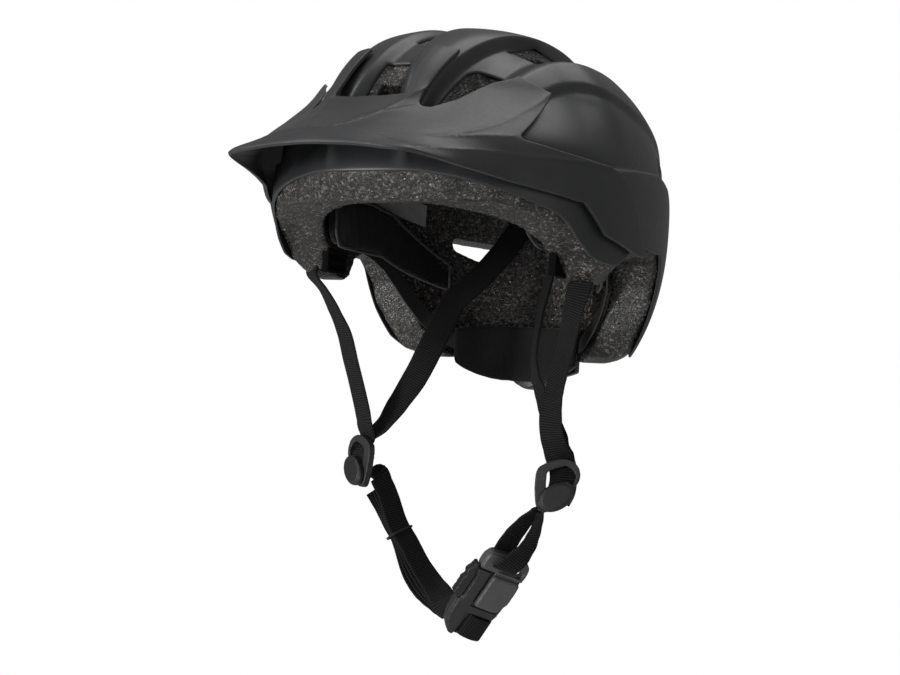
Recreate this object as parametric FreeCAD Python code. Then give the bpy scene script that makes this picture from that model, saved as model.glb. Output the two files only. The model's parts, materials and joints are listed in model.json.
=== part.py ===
import FreeCAD, Part
import math, os
from FreeCAD import Vector as V

# Cycling helmet with a tilting peak, a dial-adjusted cradle and a webbing harness.
# Frame: origin at the centre of the head cavity, at the height of the brow edge.
# +X wearer's left, -Y front, +Z up, millimetres.

# ---------------- driving dimensions ----------------
A, B = 110.1, 136.8          # half width and half length of the outer form
CU, CL = 107.3, 134.5        # height of the form above and below its widest level
ZC = 4.9                     # level of the widest section
N = 2.25                     # fullness exponent of the form
AI, BI, CI = 81.0, 106.0, 79.0   # head cavity half width, half length, height above ZC
CI_LOW = 130.0               # how fast the cavity closes towards the nape
SHELL_T = 1.5                # outer shell thickness
LINER_GAP = 0.6             # moulded skin gap between shell and liner
CHAN_D = 7.5                 # depth of the side air channels
CENT_D = 5.5                 # depth of the centre air channel
SIDE_D = 2.6                 # inset of the side panels
VISOR_T = 2.2                # peak thickness
VISOR_OFF = 3.6              # peak stand-off from the ribs
PIVOT_Y, PIVOT_Z = -36.0, 2.0    # peak pivot
WEB_W, WEB_T = 16.0, 1.5     # harness webbing
DIV_X, DIV_Y, DIV_Z = 66.0, -8.0, -153.0   # strap divider centre
DIV_DZ = 3.0                     # the left divider hangs lower and the right higher by this much
DIV_TURN, DIV_TILT = 28.0, 7.0   # the divider faces this far round from straight ahead, and hangs back
CRADLE_Y, CRADLE_Z = -20.0, -14.0 # cradle swing axis
DIAL_Z = -85.0               # dial axis height
DIAL_R = 13.5                # dial knob radius
PINION_R = 3.5               # pitch radius of the dial pinion
BUCK_TOP = V(40.1, -6.9, -198.9) # harness end of the buckle
BUCK_BOT = V(11.6, -2.9, -240.9)  # adjuster end of the buckle

# ---------------- helpers ----------------
def clamp(v, a, b):
    return a if v < a else (b if v > b else v)

def S(t):
    t = clamp(t, 0.0, 1.0)
    return t * t * (3.0 - 2.0 * t)

def interp(x, tab):
    if x <= tab[0][0]:
        return tab[0][1]
    for i in range(1, len(tab)):
        if x <= tab[i][0]:
            x0, y0 = tab[i - 1]
            x1, y1 = tab[i]
            return y0 + (y1 - y0) * (x - x0) / (x1 - x0)
    return tab[-1][1]

# ---------------- outer form ----------------
def r_form(dx, dy, dz, off=0.0):
    c = (CU if dz > 0 else CL) + off
    return ((abs(dx) / (A + off)) ** N + (abs(dy) / (B + off)) ** N + (abs(dz) / c) ** N) ** (-1.0 / N)

def r_cav(dx, dy, dz, grow=0.0):
    c = (CI if dz > 0 else CI_LOW) + grow
    return ((abs(dx) / (AI + grow)) ** N + (abs(dy) / (BI + grow)) ** N + (abs(dz) / c) ** N) ** (-1.0 / N)

# rib and channel borders, lateral distance against the front-to-back angle
X_IN = [(-70, 26), (-60, 29), (-50, 33), (-43, 38), (-35, 41), (-27, 44), (-10, 46), (0, 46), (20, 44), (40, 38), (55, 32), (70, 27)]
X_OUT = [(-70, 48), (-60, 50), (-55, 55), (-50, 60), (-45, 63), (-40, 65), (-27, 68), (-15, 70), (0, 70), (20, 68), (40, 62), (55, 54), (70, 46)]
X_CEN = [(-70, 19), (-60, 16), (-50, 11), (-43, 8.5), (-35, 7.5), (0, 7), (30, 9), (50, 12), (70, 14)]
X_CRE = [(-60, 72), (-38, 81), (-26, 86), (-13, 90), (-2, 93), (12, 96), (34, 94), (51, 86), (70, 74)]
Z_BAND = [(-137, 20), (-44, 24), (-8, 28), (32, 31), (60, 26), (100, 14), (137, 6)]

def beta(y, z):
    return math.degrees(math.atan2(y, max(z + 30.0, 1.0)))

def relief(x, y, z, soft=1.0):
    # depth below the rib tops, mm
    ax = abs(x)
    b = beta(y, z)
    top = S((z - 8.0) / 26.0)
    w_in = S((ax - interp(b, X_IN)) / (4.0 * soft) + 0.5)
    w_out = 1.0 - S((ax - interp(b, X_OUT)) / (8.0 * soft) + 0.5)
    fade = S((b + 74.0) / 8.0) * (1.0 - S((b - 64.0) / 10.0))
    chan = CHAN_D * w_in * w_out * fade
    cen = CENT_D * (1.0 - S((ax - interp(b, X_CEN)) / (6.0 * soft) + 0.5)) * fade
    zb = interp(y, Z_BAND)
    above = S((z - zb) / (3.0 * soft) + 0.5)
    w_cr = S((ax - interp(b, X_CRE)) / (5.0 * soft) + 0.5)
    side = SIDE_D * w_cr * above
    return (chan + cen) * top + side

# shell and liner lower edges in side view, (y, z)
SHELL_RIM = [(-150, 11), (-134, 10.8), (-124, 7.5), (-112, 3.5), (-100, -0.5), (-93, -2.5), (-82, -6.5), (-74, -12), (-67, -19),
             (-55, -27), (-43, -29.5), (-30, -30), (-22, -26), (-9, -15.6), (14, -16.5), (38, -17), (45, -26), (50, -52), (56, -70),
             (65, -78), (75, -76), (84, -70), (93, -65), (106, -62), (124, -57.5), (150, -55)]
LINER_RIM = [(-150, -4), (-120, -4), (-106, -3), (-94, -6), (-78, -10), (-68, -13.6), (-56, -20), (-46, -27.5), (-39, -35), (-31, -39),
             (-22, -40), (-14, -36), (-7, -26), (2, -21.5), (14, -20.5), (36, -21.5), (45, -34), (51, -61), (58, -78),
             (66, -82), (76, -80), (84, -74), (92, -69), (104, -66), (126, -61), (150, -59)]

def grid_dir(s, t):
    # azimuthal equidistant patch about the crown, degrees
    rho = math.radians(math.hypot(s, t))
    if rho < 1e-9:
        return (0.0, 0.0, 1.0)
    k = math.sin(rho) / math.hypot(s, t)
    return (s * k, t * k, math.cos(rho))

def lin(a, b, n):
    return [a + (b - a) * i / (n - 1.0) for i in range(n)]

def surf(pts):
    s = Part.BSplineSurface()
    s.interpolate(pts)
    return s

def sandwich(fo, fi, us, vs):
    # closed solid between two gridded skins
    so = surf([[fo(u, v) for v in vs] for u in us])
    si = surf([[fi(u, v) for v in vs] for u in us])
    faces = [so.toShape(), si.toShape()]
    b = so.bounds()
    c = si.bounds()
    for k in (0, 1):
        faces.append(Part.makeRuledSurface(so.uIso(b[k]).toShape(), si.uIso(c[k]).toShape()))
        faces.append(Part.makeRuledSurface(so.vIso(b[2 + k]).toShape(), si.vIso(c[2 + k]).toShape()))
    sh = Part.Shell(faces)
    sh.sewShape()
    if sh.ShapeType != "Shell":
        sh = sh.Shells[0]
    sol = Part.Solid(sh)
    if sol.Volume < 0:
        sol = sol.reversed()
    sol.fix(1e-4, 1e-4, 1e-3)
    return sol if sol.ShapeType == "Solid" else sol.Solids[0]

def prism_x(yz, x0=-200.0, x1=200.0):
    w = Part.makePolygon([V(x0, y, z) for y, z in yz] + [V(x0, yz[0][0], yz[0][1])])
    return Part.Face(w).extrude(V(x1 - x0, 0, 0))

def prism_y(xz, y0, y1):
    w = Part.makePolygon([V(x, y0, z) for x, z in xz] + [V(xz[0][0], y0, xz[0][1])])
    return Part.Face(w).extrude(V(0, y1 - y0, 0))

def form_pt(x, b):
    # point of the outer form at a lateral distance and front-to-back angle
    br = math.radians(b)
    lo, hi = 0.0, 300.0
    for _ in range(50):
        m = (lo + hi) / 2
        y, z = m * math.sin(br), m * math.cos(br) - 30.0
        c = CU if z > ZC else CL
        f = (abs(x) / A) ** N + (abs(y) / B) ** N + (abs(z - ZC) / c) ** N
        if f < 1:
            lo = m
        else:
            hi = m
    return (x, lo * math.sin(br), lo * math.cos(br) - 30.0)

def frustum(pts, r0=0.45, r1=1.35):
    # tapered cutter through points seen from the form's centre
    ds = [V(p[0], p[1], p[2] - ZC) for p in pts]
    m = V(0, 0, 0)
    for d in ds:
        m = m + d
    m.normalize()
    h = sum([d.dot(m) for d in ds]) / len(ds)
    ds = [d * (1.0 / d.dot(m)) for d in ds]
    c0 = V(0, 0, ZC)
    w = []
    for r in (r0 * h, r1 * h):
        p = [c0 + d * r for d in ds]
        w.append(Part.makePolygon(p + [p[0]]))
    return Part.makeLoft(w, True, True)

def mirror(s):
    return s.mirror(V(0, 0, 0), V(1, 0, 0))

def box(x0, x1, y0, y1, z0, z1):
    return Part.makeBox(x1 - x0, y1 - y0, z1 - z0, V(x0, y0, z0))

def cyl(p, d, r, h):
    return Part.makeCylinder(r, h, p, d)

def filleted(s, r, pick=None):
    try:
        e = [x for x in s.Edges if pick is None or pick(x)]
        f = s.makeFillet(r, e)
        if f.isValid() and f.Volume > 0:
            return f
    except Exception:
        pass
    return s

def frames(pts, wid):
    out = []
    for i, p in enumerate(pts):
        t = (pts[min(i + 1, len(pts) - 1)] - pts[max(i - 1, 0)])
        t.normalize()
        w = wid[i] - t * wid[i].dot(t)
        w.normalize()
        n = t.cross(w)
        n.normalize()
        out.append((p, w, n))
    return out

def ribbon(pts, wid, width=WEB_W, thick=WEB_T):
    # flat webbing through points, its width direction given at each
    ws = []
    for p, w, n in frames(pts, wid):
        a, b = w * (width / 2), n * (thick / 2)
        q = [p - a - b, p + a - b, p + a + b, p - a + b]
        ws.append(Part.makePolygon(q + [q[0]]))
    return Part.makeLoft(ws, True, True)

def bez(p0, p1, p2, p3, n):
    out = []
    for i in range(n):
        t = i / (n - 1.0)
        u = 1 - t
        out.append(p0 * (u * u * u) + p1 * (3 * u * u * t) + p2 * (3 * u * t * t) + p3 * (t * t * t))
    return out

def crom(P, per=3):
    # smooth points through the given ones
    out = []
    for i in range(len(P) - 1):
        p0 = P[i - 1] if i > 0 else P[0] * 2 - P[1]
        p1, p2 = P[i], P[i + 1]
        p3 = P[i + 2] if i + 2 < len(P) else P[-1] * 2 - P[-2]
        for j in range(per):
            t = j / float(per)
            out.append((p1 * 2 + (p2 - p0) * t + (p0 * 2 - p1 * 5 + p2 * 4 - p3) * (t * t) + (p1 * 3 - p0 - p2 * 3 + p3) * (t ** 3)) * 0.5)
    out.append(P[-1])
    return out

def blend_v(a, b, n):
    return [a * (1 - i / (n - 1.0)) + b * (i / (n - 1.0)) for i in range(n)]

parts = {}

# ---------------- outer shell and liner ----------------
US = lin(-118.0, 118.0, 47)
VS = lin(-114.0, 128.0, 49)

def skin(s, t, depth, soft=2.0):
    d = grid_dir(s, t)
    r = r_form(*d)
    p = (d[0] * r, d[1] * r, d[2] * r + ZC)
    dep = depth(*p) + relief(p[0], p[1], p[2], soft)
    r -= dep
    return V(d[0] * r, d[1] * r, d[2] * r + ZC)

def liner_depth(x, y, z):
    # the foam shows below the shell and rolls inwards
    t = interp(y, SHELL_RIM) - z
    return SHELL_T + LINER_GAP + (0.0 if t < 0 else min(0.62 * t * S(t / 6.0), 9.0))

def cavity(s, t):
    d = grid_dir(s, t)
    r = r_cav(*d)
    return V(d[0] * r, d[1] * r, d[2] * r + ZC)

VENTS = [  # lateral distance and front-to-back angle of each opening's corners
    ([(29, -63), (36, -54), (42, -44.5), (46, -42.5), (63, -41.5), (63, -46), (57, -53), (47, -60), (39, -64)],
     [(42, -60), (46, -51), (50, -47), (59, -46), (60, -50), (52, -59)]),
    ([(47, -27), (68, -25), (70, -10), (70, 6), (48, 8), (46, -10)],
     [(52, -23), (63, -22), (65, -10), (65, 2), (52, 4), (51, -10)]),
    ([(44, 20), (66, 18), (63, 36), (57, 50), (36, 50), (41, 36)],
     [(48, 25), (61, 24), (58, 36), (53, 45), (41, 45), (45, 36)]),
]
CENTRE = [
    ([(-15, -63), (-11, -54), (-8, -44), (8, -44), (11, -54), (15, -63)],
     [(-8, -59), (-7, -50), (7, -50), (8, -59)]),
    ([(-5.5, -32), (-5.5, -15), (5.5, -15), (5.5, -32)],
     [(-3.5, -29), (-3.5, -18), (3.5, -18), (3.5, -29)]),
    ([(-7, 14), (-10, 40), (10, 40), (7, 14)],
     [(-4.5, 18), (-6.5, 36), (6.5, 36), (4.5, 18)]),
]
def side_dir(az, z, r=120.0):
    # rear quarter openings: azimuth from the rear, height
    a = math.radians(az)
    d = (math.sin(a), math.cos(a), (z - ZC) / r)
    k = r_form(*d)
    return (d[0] * k, d[1] * k, d[2] * k + ZC)
SIDES = [
    ([side_dir(12, 0), side_dir(44, 4), side_dir(42, -16), side_dir(26, -30), side_dir(12, -22)],
     [side_dir(18, -6), side_dir(36, -3), side_dir(35, -13), side_dir(25, -20), side_dir(18, -15)]),
    ([side_dir(50, 34), side_dir(66, 48), side_dir(68, 38), side_dir(58, 22), side_dir(48, 20)],
     [side_dir(53, 31), side_dir(63, 41), side_dir(64, 36), side_dir(57, 26), side_dir(52, 25)]),
]
shell_cut, liner_cut = [], []
for o, i in VENTS:
    for k in (1, -1):
        shell_cut.append(frustum([form_pt(k * x, b) for x, b in o]))
        liner_cut.append(frustum([form_pt(k * x, b) for x, b in i]))
for o, i in CENTRE:
    shell_cut.append(frustum([form_pt(x, b) for x, b in o]))
    liner_cut.append(frustum([form_pt(x, b) for x, b in i]))
for o, i in SIDES:
    for k in (1, -1):
        shell_cut.append(frustum([(k * p[0], p[1], p[2]) for p in o]))
        liner_cut.append(frustum([(k * p[0], p[1], p[2]) for p in i]))

DIAL_ARCH = prism_y([(-32, -90), (-27, -67), (-19, -61.5), (19, -61.5), (27, -67), (32, -90)], 80, 150)

shell = sandwich(lambda s, t: skin(s, t, lambda x, y, z: 0.0),
                 lambda s, t: skin(s, t, lambda x, y, z: SHELL_T), US, VS)
keep = prism_x(SHELL_RIM + [(150, 130), (-150, 130)])
shell = shell.common(keep)
shell = shell.cut(shell_cut)
# peak sockets: a bore through the shell on each side for the snap pins
PIN_R, PIN_CLR = 3.0, 0.06
for k in (1, -1):
    shell = shell.cut(cyl(V(k * 100, PIVOT_Y, PIVOT_Z), V(k, 0, 0), PIN_R + PIN_CLR, 20))
shell = shell.cut(DIAL_ARCH)
parts["outer_shell"] = max(shell.Solids, key=lambda s: s.Volume)

liner = sandwich(lambda s, t: skin(s, t, liner_depth), cavity, US, VS)
liner = liner.common(prism_x(LINER_RIM + [(150, 130), (-150, 130)]))
liner = liner.cut(liner_cut)
for k in (1, -1):   # pockets behind the peak sockets
    liner = liner.cut(cyl(V(k * 96, PIVOT_Y, PIVOT_Z), V(k, 0, 0), 7.3, 20))
# arch over the dial at the centre of the rear edge
liner = liner.cut(DIAL_ARCH)
parts["eps_liner"] = max(liner.Solids, key=lambda s: s.Volume)

# ---------------- peak ----------------
def hr(psi, z, off=0.0):
    # horizontal radius of the form at a height, psi from the front towards +X
    c = CU if z > ZC else CL
    k = max(1.0 - (abs(z - ZC) / c) ** N, 0.02)
    s, q = abs(math.sin(psi)), abs(math.cos(psi))
    return (k ** (1 / N)) * ((s / A) ** N + (q / B) ** N) ** (-1.0 / N)

EDGE_Z = [(0, 17.5), (8, 16.8), (16.6, 14.5), (24, 10.7), (29.5, 8.6), (36, 6.3), (44, 4.2), (55.3, 1.2), (58, -2.0), (61.7, -10.3), (64.5, -14.8), (72, -18), (83.7, -22.8), (100, -22.8)]
# stand-off of the peak from the form (horizontal), rows by angle, against height above the edge
OFFS = [
    (0.0, [(0, 58.7), (8.5, 50.5), (16, 36), (25, 20), (34.5, 10.2), (50, 7.0), (67, 6.0), (90, 6.0)]),
    (9.0, [(0, 57.5), (8, 48), (16, 33), (25, 18), (33, 10), (49, 7.0), (67, 6.0), (90, 6.0)]),
    (16.6, [(0, 55), (5, 40), (11, 26.5), (17, 17.5), (23, 12.5), (30, 9), (45, 6.5), (70, 5.5), (90, 5.5)]),
    (24.0, [(0, 33), (9, 21), (17, 13.5), (26, 9.5), (36, 7.5), (50, 6.5), (90, 5.5)]),
    (29.5, [(0, 23), (12, 15.0), (21, 10.0), (34, 7.5), (50, 6.5), (90, 5.5)]),
    (36.0, [(0, 15), (18, 9.0), (26, 7.0), (40, 6.0), (90, 5.5)]),
    (44.0, [(0, 9.6), (22, 6.0), (40, 5.5), (90, 5.5)]),
    (55.0, [(0, 6.4), (24, 5.0), (90, 5.0)]),
    (66.0, [(0, 5.2), (30, 4.8), (90, 4.8)]),
    (100.0, [(0, 4.8), (90, 4.8)]),
]
def offs(psi_deg, h):
    a = abs(psi_deg)
    for i in range(1, len(OFFS)):
        if a <= OFFS[i][0]:
            a0, t0 = OFFS[i - 1]
            a1, t1 = OFFS[i]
            k = (a - a0) / (a1 - a0)
            return interp(h, t0) * (1 - k) + interp(h, t1) * k
    return interp(h, OFFS[-1][1])

def visor_pt(psi, t):
    # t 0 at the lip, 1 high on the shell
    ze = interp(abs(psi), EDGE_Z)
    z = ze + (94.0 - ze) * (t ** 1.25)
    r = hr(math.radians(psi), z) + offs(psi, z - ze)
    a = math.radians(psi)
    return V(r * math.sin(a), -r * math.cos(a), z)

def visor_in(psi, t):
    e = 0.01
    p = visor_pt(psi, t)
    du = visor_pt(psi + 1.0, t) - visor_pt(psi - 1.0, t)
    dv = visor_pt(psi, min(t + e, 1.0)) - visor_pt(psi, max(t - e, 0.0))
    n = du.cross(dv)
    n.normalize()
    if n.z * 1.0 + n.dot(V(math.sin(math.radians(psi)), -math.cos(math.radians(psi)), 0)) < 0:
        n = n * -1.0
    return p - n * VISOR_T

vis = sandwich(visor_pt, visor_in, lin(-94.0, 94.0, 63), lin(0.0, 1.0, 23))
WING = [(-230, -60), (-98, -60), (-98, 4.2), (-72.5, 1.2), (-58, -10.3), (-52.5, -14.8), (-14, -22.5), (-5, -19.5), (-12, -13), (-18.5, -1.5),
        (-30, 16), (-40.5, 22.6), (-53, 24.6), (-62, 25.2), (-85, 27.5), (-106.5, 31), (-107.5, 33), (-81, 59.8), (-93.8, 68.5), (-95, 90), (-95, 130), (-230, 130)]
vis = vis.common(prism_x(WING))
vis = vis.cut(prism_y([(-22, 53), (-8, 51.5), (8, 51.5), (22, 53), (19.5, 86), (19.5, 120), (-19.5, 120), (-19.5, 86)], -230, 0))
win = [(30, 46), (38, 45), (49, 50.5), (61, 62), (69, 69), (69, 120), (36.5, 120), (36.5, 82)]
vis = vis.cut(prism_y(win, -230, 0))
vis = vis.cut(prism_y([(-x, z) for x, z in win], -230, 0))
top = [(10, 88), (20, 86.2), (38, 83), (50, 90), (50, 130), (10, 130)]
vis = vis.cut(prism_y(top, -230, 0))
vis = vis.cut(prism_y([(-x, z) for x, z in top], -230, 0))
vis = max(vis.Solids, key=lambda s: s.Volume)
parts["visor"] = vis

# snap pins join the peak to the shell on a common cross axis; each pin stands on a boss under the wing
def wing_x(y, z):
    lo, hi = 60.0, 130.0
    for _ in range(40):
        m = (lo + hi) / 2
        psi = math.atan2(m, -y)
        if math.hypot(m, y) < hr(psi, z) + offs(math.degrees(psi), z - interp(abs(math.degrees(psi)), EDGE_Z)):
            lo = m
        else:
            hi = m
    return lo
PX = wing_x(PIVOT_Y, PIVOT_Z)

def form_x(y, z, off=0.0):
    c = CU if z > ZC else CL
    return A * (1 - (abs(y) / B) ** N - (abs(z - ZC) / c) ** N) ** (1 / N) + off
FX = form_x(PIVOT_Y, PIVOT_Z)
for k, nm in ((1, "left"), (-1, "right")):
    # the pin's collar lies against the wing's inner face
    pin = cyl(V(k * (FX - 8.5), PIVOT_Y, PIVOT_Z), V(k, 0, 0), PIN_R, 8.5 + (PX - VISOR_T - FX) - 1.5)
    pin = pin.fuse(cyl(V(k * (PX - VISOR_T - 2.1), PIVOT_Y, PIVOT_Z), V(k, 0, 0), 3.5, 1.0))
    parts["visor_pin_" + nm] = pin.removeSplitter()
    # socket sleeve moulded behind the shell
    sk = cyl(V(k * (FX - 9.2), PIVOT_Y, PIVOT_Z), V(k, 0, 0), 6.8, 6.0).cut(
        cyl(V(k * (FX - 10), PIVOT_Y, PIVOT_Z), V(k, 0, 0), PIN_R + PIN_CLR, 12))
    parts["visor_socket_" + nm] = sk

# ---------------- pads ----------------
def wall_pt(az, z, grow=0.0):
    # point on the cavity wall: azimuth from the front towards +X, height
    a = math.radians(az)
    lo, hi = 0.0, 200.0
    for _ in range(45):
        m = (lo + hi) / 2
        x, y = m * math.sin(a), -m * math.cos(a)
        c = (CI if z > ZC else CI_LOW) + grow
        f = (abs(x) / (AI + grow)) ** N + (abs(y) / (BI + grow)) ** N + (abs(z - ZC) / c) ** N
        if f < 1:
            lo = m
        else:
            hi = m
    return V(lo * math.sin(a), -lo * math.cos(a), z)

def wall_pad(az0, az1, zlo, zhi, t0, t1, n=13, m=5):
    # thin solid between two offsets of the cavity wall
    def f(g):
        def q(u, v):
            zl, zh = interp(u, zlo), interp(u, zhi)
            return wall_pt(u, zl + (zh - zl) * v, -g)
        return q
    return sandwich(f(t0), f(t1), lin(az0, az1, n), lin(0.0, 1.0, m))

side_lo = [(46, -12), (53, -21), (75, -21), (101, -21), (117, -28), (131, -33), (144, -38)]
side_hi = [(46, 2), (60, 8), (90, 10), (110, 6), (125, -6), (144, -22)]
for k, nm in ((1, "left"), (-1, "right")):
    p = wall_pad(46, 144, side_lo, side_hi, 2.7, 7.8)
    parts["side_pad_" + nm] = p if k > 0 else mirror(p)
parts["brow_pad"] = wall_pad(-34, 34, [(-34, 4), (34, 4)], [(-34, 26), (34, 26)], 0.3, 7.0, 13, 5)

def crown(u, v, g):
    d = (u, v, 1.0)
    L = math.sqrt(u * u + v * v + 1)
    d = (u / L, v / L, 1 / L)
    r = r_cav(*d) - g
    return V(d[0] * r, d[1] * r, d[2] * r + ZC)
parts["crown_pad"] = sandwich(lambda u, v: crown(u, v, 0.3), lambda u, v: crown(u, v, 6.0), lin(-0.22, 0.22, 7), lin(-0.75, 0.75, 13))

# size label: a plain sticker on the cavity wall above the right side pad
parts["size_label"] = mirror(wall_pad(100, 132, [(100, 13), (132, 3)], [(100, 27), (132, 17)], 0.1, 0.35, 9, 3))

# ---------------- front strap anchors ----------------
for k, nm in ((1, "left"), (-1, "right")):
    fr = box(73.2, 77.6, -49, -27, -37, -23)
    fr = fr.cut(box(70, 75.4, -46.5, -29.5, -34.8, -31.4)).cut(box(70, 75.4, -46.5, -29.5, -28.6, -25.2))
    parts["strap_anchor_" + nm] = fr if k > 0 else mirror(fr)
    pk = box(60, 77.8, -49.2, -26.8, -37.2, -22.8)
    parts["eps_liner"] = parts["eps_liner"].cut(pk if k > 0 else mirror(pk))
# rear strap anchor: a moulded tee on the rear wall
parts["eps_liner"] = parts["eps_liner"].cut(box(-24.4, 24.4, 90, 103.6, 14.6, 29.4))
parts["rear_strap_anchor"] = box(-24, 24, 100.6, 103.2, 15, 29).cut(box(-21, -5, 90, 120, 17.5, 20.5)).cut(box(5, 21, 90, 120, 17.5, 20.5))

# ---------------- V straps ----------------
X1 = V(1, 0, 0)
Y1 = V(0, 1, 0)
FRONT = [V(88.5, -35.5, -41.2), V(85.9, -34.2, -49.3), V(78.0, -28.0, -66.2), V(73.2, -21.5, -79.0), V(70.8, -14.0, -96.0), V(69.0, -10.5, -114.0), V(68.0, -10.3, -132.5)]
REAR = [V(13.5, 96.5, 11.5), V(16.3, 85.0, -4.0), V(19.3, 73.5, -15.2), V(22.6, 60.3, -27.3), V(25.6, 49.1, -37.7), V(29.0, 36.3, -51.2), V(33.1, 24.4, -66.1),
        V(38.0, 16.0, -79.8), V(43.5, 11.0, -93.0), V(51.0, 8.0, -107.0), V(58.0, 4.0, -120.5), V(63.6, -3.0, -132.5)]
for k, nm in ((1, "left"), (-1, "right")):
    dz = -DIV_DZ if k > 0 else DIV_DZ
    def drop(P):
        # carry the divider's height difference along the lower part of the run
        return [V(q.x, q.y, q.z + dz * clamp((-60.0 - q.z) / 70.0, 0.0, 1.0)) for q in P]
    pts = crom(drop(FRONT), 3)
    n = len(pts)
    f = ribbon(pts, blend_v(V(0.92, -0.30, 0.1), V(0.88, -0.47, 0.0), n))
    pts = crom(drop(REAR), 3)
    n = len(pts)
    h = n // 2
    wd = blend_v(V(0.85, -0.30, 0.45), V(0.40, -0.70, 0.60), h) + blend_v(V(0.40, -0.70, 0.60), V(0.80, -0.55, 0.20), n - h)
    r = ribbon(pts, wd)
    parts["strap_front_" + nm] = f if k > 0 else mirror(f)
    parts["strap_rear_" + nm] = r if k > 0 else mirror(r)

# ---------------- retention cradle ----------------
def r_cradle(az, z, g):
    # horizontal radius of the cradle form, azimuth from the front
    a = math.radians(az)
    k = (1.0 - (abs(z - ZC) / 260.0) ** N) ** (1 / N)
    return k * ((abs(math.sin(a)) / (63.5 - g)) ** N + (abs(math.cos(a)) / (87.8 - g)) ** N) ** (-1.0 / N)

def cradle_pt(az, z, g):
    a = math.radians(az)
    r = r_cradle(az, z, g)
    return V(r * math.sin(a), -r * math.cos(a), z)

# bands: pinned to the wall under the side pads, out through the ear openings and back to the cradle
BAND = [(74, -14, 1.0), (88, -15, 1.0), (100, -18.5, 1.0), (110, -25, 1.0), (117, -34, 1.3), (124, -46, 2.8), (131, -57, 4.6), (138, -65, 6.0), (145, -70.5, 5.0), (151.3, -73.5, None)]
def band_pts(n=25):
    out = []
    for i in range(n):
        s = i / (n - 1.0) * (len(BAND) - 1)
        j = min(int(s), len(BAND) - 2)
        q = s - j
        az = BAND[j][0] * (1 - q) + BAND[j + 1][0] * q
        z = BAND[j][1] * (1 - q) + BAND[j + 1][1] * q
        w = wall_pt(az, z, 0)
        rw = math.hypot(w.x, w.y)
        def rad(b):
            return r_cradle(az, z, 1.0) if b[2] is None else rw - b[2]
        r = rad(BAND[j]) * (1 - q) + rad(BAND[j + 1]) * q
        a = math.radians(az)
        out.append(V(r * math.sin(a), -r * math.cos(a), z))
    return out
for k, nm in ((1, "left"), (-1, "right")):
    pts = band_pts()
    wid = []
    for i, p in enumerate(pts):
        q, s = pts[max(i - 1, 0)], pts[min(i + 1, len(pts) - 1)]
        t = s - q
        t.normalize()
        nrm = V(p.x / AI ** 2, p.y / BI ** 2, 0)
        nrm.normalize()
        wid.append(t.cross(nrm))
    b = ribbon(pts, wid, 10.0, 1.0)
    b = b.cut(cyl(V(60, CRADLE_Y, CRADLE_Z), X1, 2.5, 40))
    parts["band_" + nm] = b if k > 0 else mirror(b)
    # wall pin that the band hangs from, with a low head
    xw = 81.0 * (1 - (abs(CRADLE_Y) / BI) ** N - (abs(CRADLE_Z - ZC) / CI_LOW) ** N) ** (1 / N)
    pn = cyl(V(xw - 2.3, CRADLE_Y, CRADLE_Z), X1, 2.2, 6.3).fuse(cyl(V(xw - 2.35, CRADLE_Y, CRADLE_Z), X1, 4.0, 0.4))
    parts["cradle_pin_" + nm] = pn if k > 0 else mirror(pn)
    PINCUT = cyl(V(xw - 3.0, CRADLE_Y, CRADLE_Z), X1, 2.25, 7.1)
    parts["eps_liner"] = parts["eps_liner"].cut(PINCUT if k > 0 else mirror(PINCUT))

# cradle plate: curved plate behind the nape, with a slot bay for the racks and dial
def cradle_skin(g):
    def q(u, v):
        return cradle_pt(180 - u, v, g)
    return q
cr = sandwich(cradle_skin(0.0), cradle_skin(2.0), lin(-27.5, 27.5, 11), lin(-94.0, -64.0, 5))
pad = sandwich(cradle_skin(2.4), cradle_skin(7.6), lin(-29.0, 29.0, 11), lin(-88.0, -63.5, 5))
parts["occipital_pad"] = pad
YR = 90.0          # rear face of the rack guide at the centre line
# dial housing: shallow cup behind the plate, open to both sides for the racks
# a flat land on the plate carries the racks and the dial
land = box(-31, 31, YR - 6.0, YR + 0.3, DIAL_Z - 8.6, DIAL_Z + 8.6)
cut_in = sandwich(cradle_skin(1.0), cradle_skin(20.0), lin(-40.0, 40.0, 11), lin(-104.0, -56.0, 5))
land = land.cut(cut_in)
cr = cr.fuse(land).fuse(cyl(V(0, YR - 5, DIAL_Z), Y1, 15.0, 5.3).cut(cut_in)).removeSplitter()
parts["cradle_plate"] = cr
hous = cyl(V(0, YR + 0.35, DIAL_Z), Y1, 15.0, 8.45)
hous = hous.cut(cyl(V(0, YR - 1, DIAL_Z), Y1, 13.4, 8.0))
hous = hous.cut(box(-20, 20, YR - 1, YR + 3.6, DIAL_Z - 7.2, DIAL_Z + 7.2))
hous = hous.cut(cyl(V(0, YR, DIAL_Z), Y1, 2.56, 20))
parts["dial_housing"] = hous
# ratchet spring ring clipped inside the housing
rs = cyl(V(0, YR + 4.4, DIAL_Z), Y1, 12.9, 1.2).cut(cyl(V(0, YR + 4, DIAL_Z), Y1, 10.8, 3))
rs = rs.cut(box(-2, 2, YR + 4, YR + 7, DIAL_Z + 5, DIAL_Z + 20))
parts["ratchet_spring"] = rs
# pinion: shaft with eight teeth
sh = cyl(V(0, YR + 0.6, DIAL_Z), Y1, 2.5, 10.9)
pin = sh
for i in range(8):
    a = math.radians(45 * i + 22.5)
    tooth = box(-0.75, 0.75, YR + 0.6, YR + 3.3, 1.8, PINION_R + 0.75)
    tooth.rotate(V(0, 0, 0), Y1, math.degrees(a))
    tooth.translate(V(0, 0, DIAL_Z))
    pin = pin.fuse(tooth)
parts["dial_pinion"] = pin.removeSplitter()
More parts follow.
